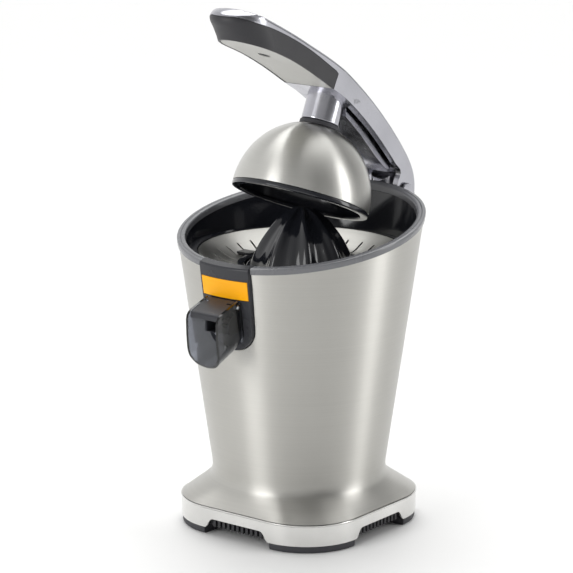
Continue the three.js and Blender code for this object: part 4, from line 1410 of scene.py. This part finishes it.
scoop = common(prism(SCOOP_SIDE, -20, 20, "x"), scoop_section(SPOUT_HALF, SPOUT_LOW, -125, -75))
channel = scoop_section(SPOUT_HALF - SPOUT_WALL, SPOUT_LOW + SPOUT_WALL, -130, -70)
panel_front = tapered(PANEL_PROUD + GAP, 120, 20)
scoop = cut(scoop, channel, panel_front, spout_axle(PIN_BORE))
publish(scoop, "spout_scoop", smoky, edge=0.6, rounds=3)

# %% [markdown]
# A lid closes the scoop's top. It drops between the cheeks, with a step at each side to clear the
# ears.

# %% Scoop lid
LID_SIDE = [
    (-89.6, 177),
    (-89.6, 180.4),
    (-91, 181.2),
    (-107.8, 175.2),
    (-109.6, 174.4),
    (-110.6, 173.2),
    (-110.8, 170.2),
    (-107.8, 171.4),
    (-96.4, 175.4),
    (-95.8, 177.4),
]
lid_half = SPOUT_HALF - SPOUT_WALL - GAP
lid = prism(LID_SIDE, -lid_half, lid_half, "x")
ear_space = [block(x0, x1, -95.8, -80, 160, 179.8) for x0, x1 in ((7.9, 12.6), (-12.6, -7.9))]
publish(cut(lid, *ear_space), "spout_lid", lid_grey, edge=0.45)

# %% [markdown]
# Two short steel pins, one through each ear, are the pivots. Their outer ends are domed.

# %% Scoop pivots
PIVOT = [(0, 8.4), (1.5, 8.4), (1.5, 14), (1.2, 14.4), (0.6, 14.6), (0, 14.6)]
for node, side in (("spout_pin_right", 1), ("spout_pin_left", -1)):
    pin = turned(spun(PIVOT, 32, closed=False), side * math.pi / 2, "Y")
    publish(moved(pin, (0, SPOUT.y, SPOUT.z)), node, zinc, edge=0)
print("spout made, pieces so far:", len(made_pieces))

# %% [markdown]
# ## The inside
# The drive sits under the bowl where nobody sees it, so its solids stay as the frame has them, with
# their own finishes.

# %% Finishes for the drive
INSIDE = {
    "gearbox_case": nylon,
    "gearbox_cover": nylon,
    "idler_gear": nylon,
    "output_gear": nylon,
    "motor_cap": nylon,
    "motor_can": zinc,
    "motor_rotor": zinc,
    "gearbox_screw_1": zinc,
    "gearbox_screw_2": zinc,
    "gearbox_screw_3": zinc,
    "idler_pin": zinc,
    "drive_shaft": zinc,
    "shaft_bush": bronze,
    "shaft_seal": rubber,
    "microswitch": black_grain,
    "switch_plunger": accent,
    "cord_gland": black_grain,
}
for node, material in INSIDE.items():
    solid = frame["nodes"][node]
    solid.data.materials.clear()
    solid.data.materials.append(material)
print("frame solids with a finish of their own:", len(INSIDE))

# %% [markdown]
# Pressing fruit on the reamer pushes the shaft down onto a coil spring, which closes the switch.
# The coil is a small circle carried round the axis and upwards at once.

# %% Return spring
COIL_TURNS = 3.5
COIL_STEPS = 126
COIL_R = 4.0
WIRE_R = 0.7
spring_low, spring_top = span("return_spring", "z")
rise = spring_top - spring_low - 2 * WIRE_R
coil = bmesh.new()
bmesh.ops.create_circle(coil, segments=12, radius=WIRE_R, cap_ends=True)
coil = moved(turned(coil, math.pi / 2, "X"), (COIL_R, 0, spring_low + WIRE_R))
end_cap = list(coil.faces)
far_end = bmesh.ops.duplicate(coil, geom=end_cap)["geom"]
bmesh.ops.spin(
    coil,
    geom=[item for item in far_end if not isinstance(item, bmesh.types.BMFace)],
    cent=(0, 0, 0),
    axis=(0, 0, 1),
    dvec=(0, 0, rise / COIL_STEPS),
    angle=COIL_TURNS * 2 * math.pi,
    steps=COIL_STEPS,
)
open_edges = [wire for wire in coil.edges if wire.is_boundary]
bmesh.ops.holes_fill(coil, edges=open_edges)
bmesh.ops.remove_doubles(coil, verts=coil.verts, dist=0.001)
bmesh.ops.recalc_face_normals(coil, faces=coil.faces)
spring = publish(coil, "return_spring", zinc, edge=0)
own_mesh(spring)

# %% [markdown]
# ## Light
# The world is a pale studio, dimmer overhead, with two darker stretches that the steel mirrors as
# soft upright bands. Its brightness is worked out from the direction alone: a colour ramp goes
# round the horizon, and a range darkens it with height.

# %% Studio world
world = bpy.data.worlds.new("studio")
bpy.context.scene.world = world
world.use_nodes = True
sky = world.node_tree
backdrop = sky.nodes["Background"]


def sky_node(kind, *inputs, **settings):
    """A node of the sky; each input is a number or another node's output."""
    node = sky.nodes.new(kind)
    for name, value in settings.items():
        setattr(node, name, value)
    for socket, value in zip(node.inputs, inputs):
        if isinstance(value, bpy.types.NodeSocket):
            sky.links.new(value, socket)
        elif value is not None:
            socket.default_value = value
    return node.outputs[0]


toward = sky.nodes.new("ShaderNodeTexCoord").outputs["Generated"]
axes = sky.nodes.new("ShaderNodeSeparateXYZ")
sky.links.new(toward, axes.inputs[0])
east, north, height = axes.outputs
heading = sky_node("ShaderNodeMath", north, east, operation="ARCTAN2")
share = sky_node("ShaderNodeMapRange", heading, -math.pi, math.pi)
ramp = sky.nodes.new("ShaderNodeValToRGB")
sky.links.new(share, ramp.inputs[0])
# Heading in degrees, -90 in front of the spout, and how bright the studio is there.
BANDS = [
    (-180, 1.0),
    (-130, 1.0),
    (-96, 0.95),
    (-70, 0.6),
    (-46, 0.5),
    (-20, 0.22),
    (0, 0.25),
    (22, 0.8),
    (36, 0.8),
    (58, 0.3),
    (82, 0.55),
    (112, 1.0),
    (150, 1.0),
    (180, 1.0),
]
elements = ramp.color_ramp.elements
elements.remove(elements[-1])
ramp.color_ramp.interpolation = "EASE"
elements[0].color = (BANDS[0][1],) * 3 + (1,)
for degrees, bright in BANDS[1:]:
    elements.new((degrees + 180) / 360).color = (bright, bright, bright, 1)
overhead = sky_node("ShaderNodeMapRange", height, 0.25, 0.95, 1.0, 0.5)
sweep = sky_node("ShaderNodeMath", ramp.outputs[0], overhead, operation="MULTIPLY")
seen = sky.nodes.new("ShaderNodeLightPath").outputs["Is Camera Ray"]
shown = sky_node("ShaderNodeMix", seen, None, sweep, 1.0, data_type="FLOAT")
sky.links.new(shown, backdrop.inputs["Strength"])
backdrop.inputs["Color"].default_value = (1, 1, 1, 1)
print("studio brightness is set at", len(BANDS), "headings")


# %% [markdown]
# Two upright strips of light draw the bright streaks down the sheet, and a very soft sun from high
# up keeps the floor pale and the shadows faint.

# %% Lamps
def soft_lamp(name, place, target, size, watts):
    data = bpy.data.lights.new(name, "AREA")
    data.shape = "RECTANGLE"
    data.size, data.size_y = size
    data.energy = watts
    lamp = bpy.data.objects.new(name, data)
    bpy.context.scene.collection.objects.link(lamp)
    lamp.location = place
    lamp.rotation_euler = (Vector(target) - Vector(place)).to_track_quat("-Z", "Y").to_euler()


soft_lamp("left_strip", (-0.3, -1.2, 0.5), (0, 0, 0.16), (0.5, 0.9), 4.5)
soft_lamp("right_strip", (1.05, 0.55, 0.5), (0, 0, 0.16), (0.34, 0.9), 3.6)
high = bpy.data.lights.new("high_sun", "SUN")
high.energy = 1.9
high.angle = math.radians(60)
high_lamp = bpy.data.objects.new("high_sun", high)
bpy.context.scene.collection.objects.link(high_lamp)
high_lamp.rotation_euler = (math.radians(-18), math.radians(-14), 0)
print("lamps:", len(bpy.data.lights))

# %% [markdown]
# The floor is matt and nearly white, with the faintest warmth.

# %% Floor finish
floor_finish = new_finish("pale_floor", (0.9, 0.9, 0.895), 0.0, 0.6)[0]
floor.data.materials.append(floor_finish)
print("floor finish:", floor_finish.name)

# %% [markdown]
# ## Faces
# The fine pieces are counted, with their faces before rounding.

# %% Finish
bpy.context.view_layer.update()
total = sum(len(piece.data.polygons) for piece in made_pieces)
print("pieces:", len(made_pieces), "faces before rounding:", total)
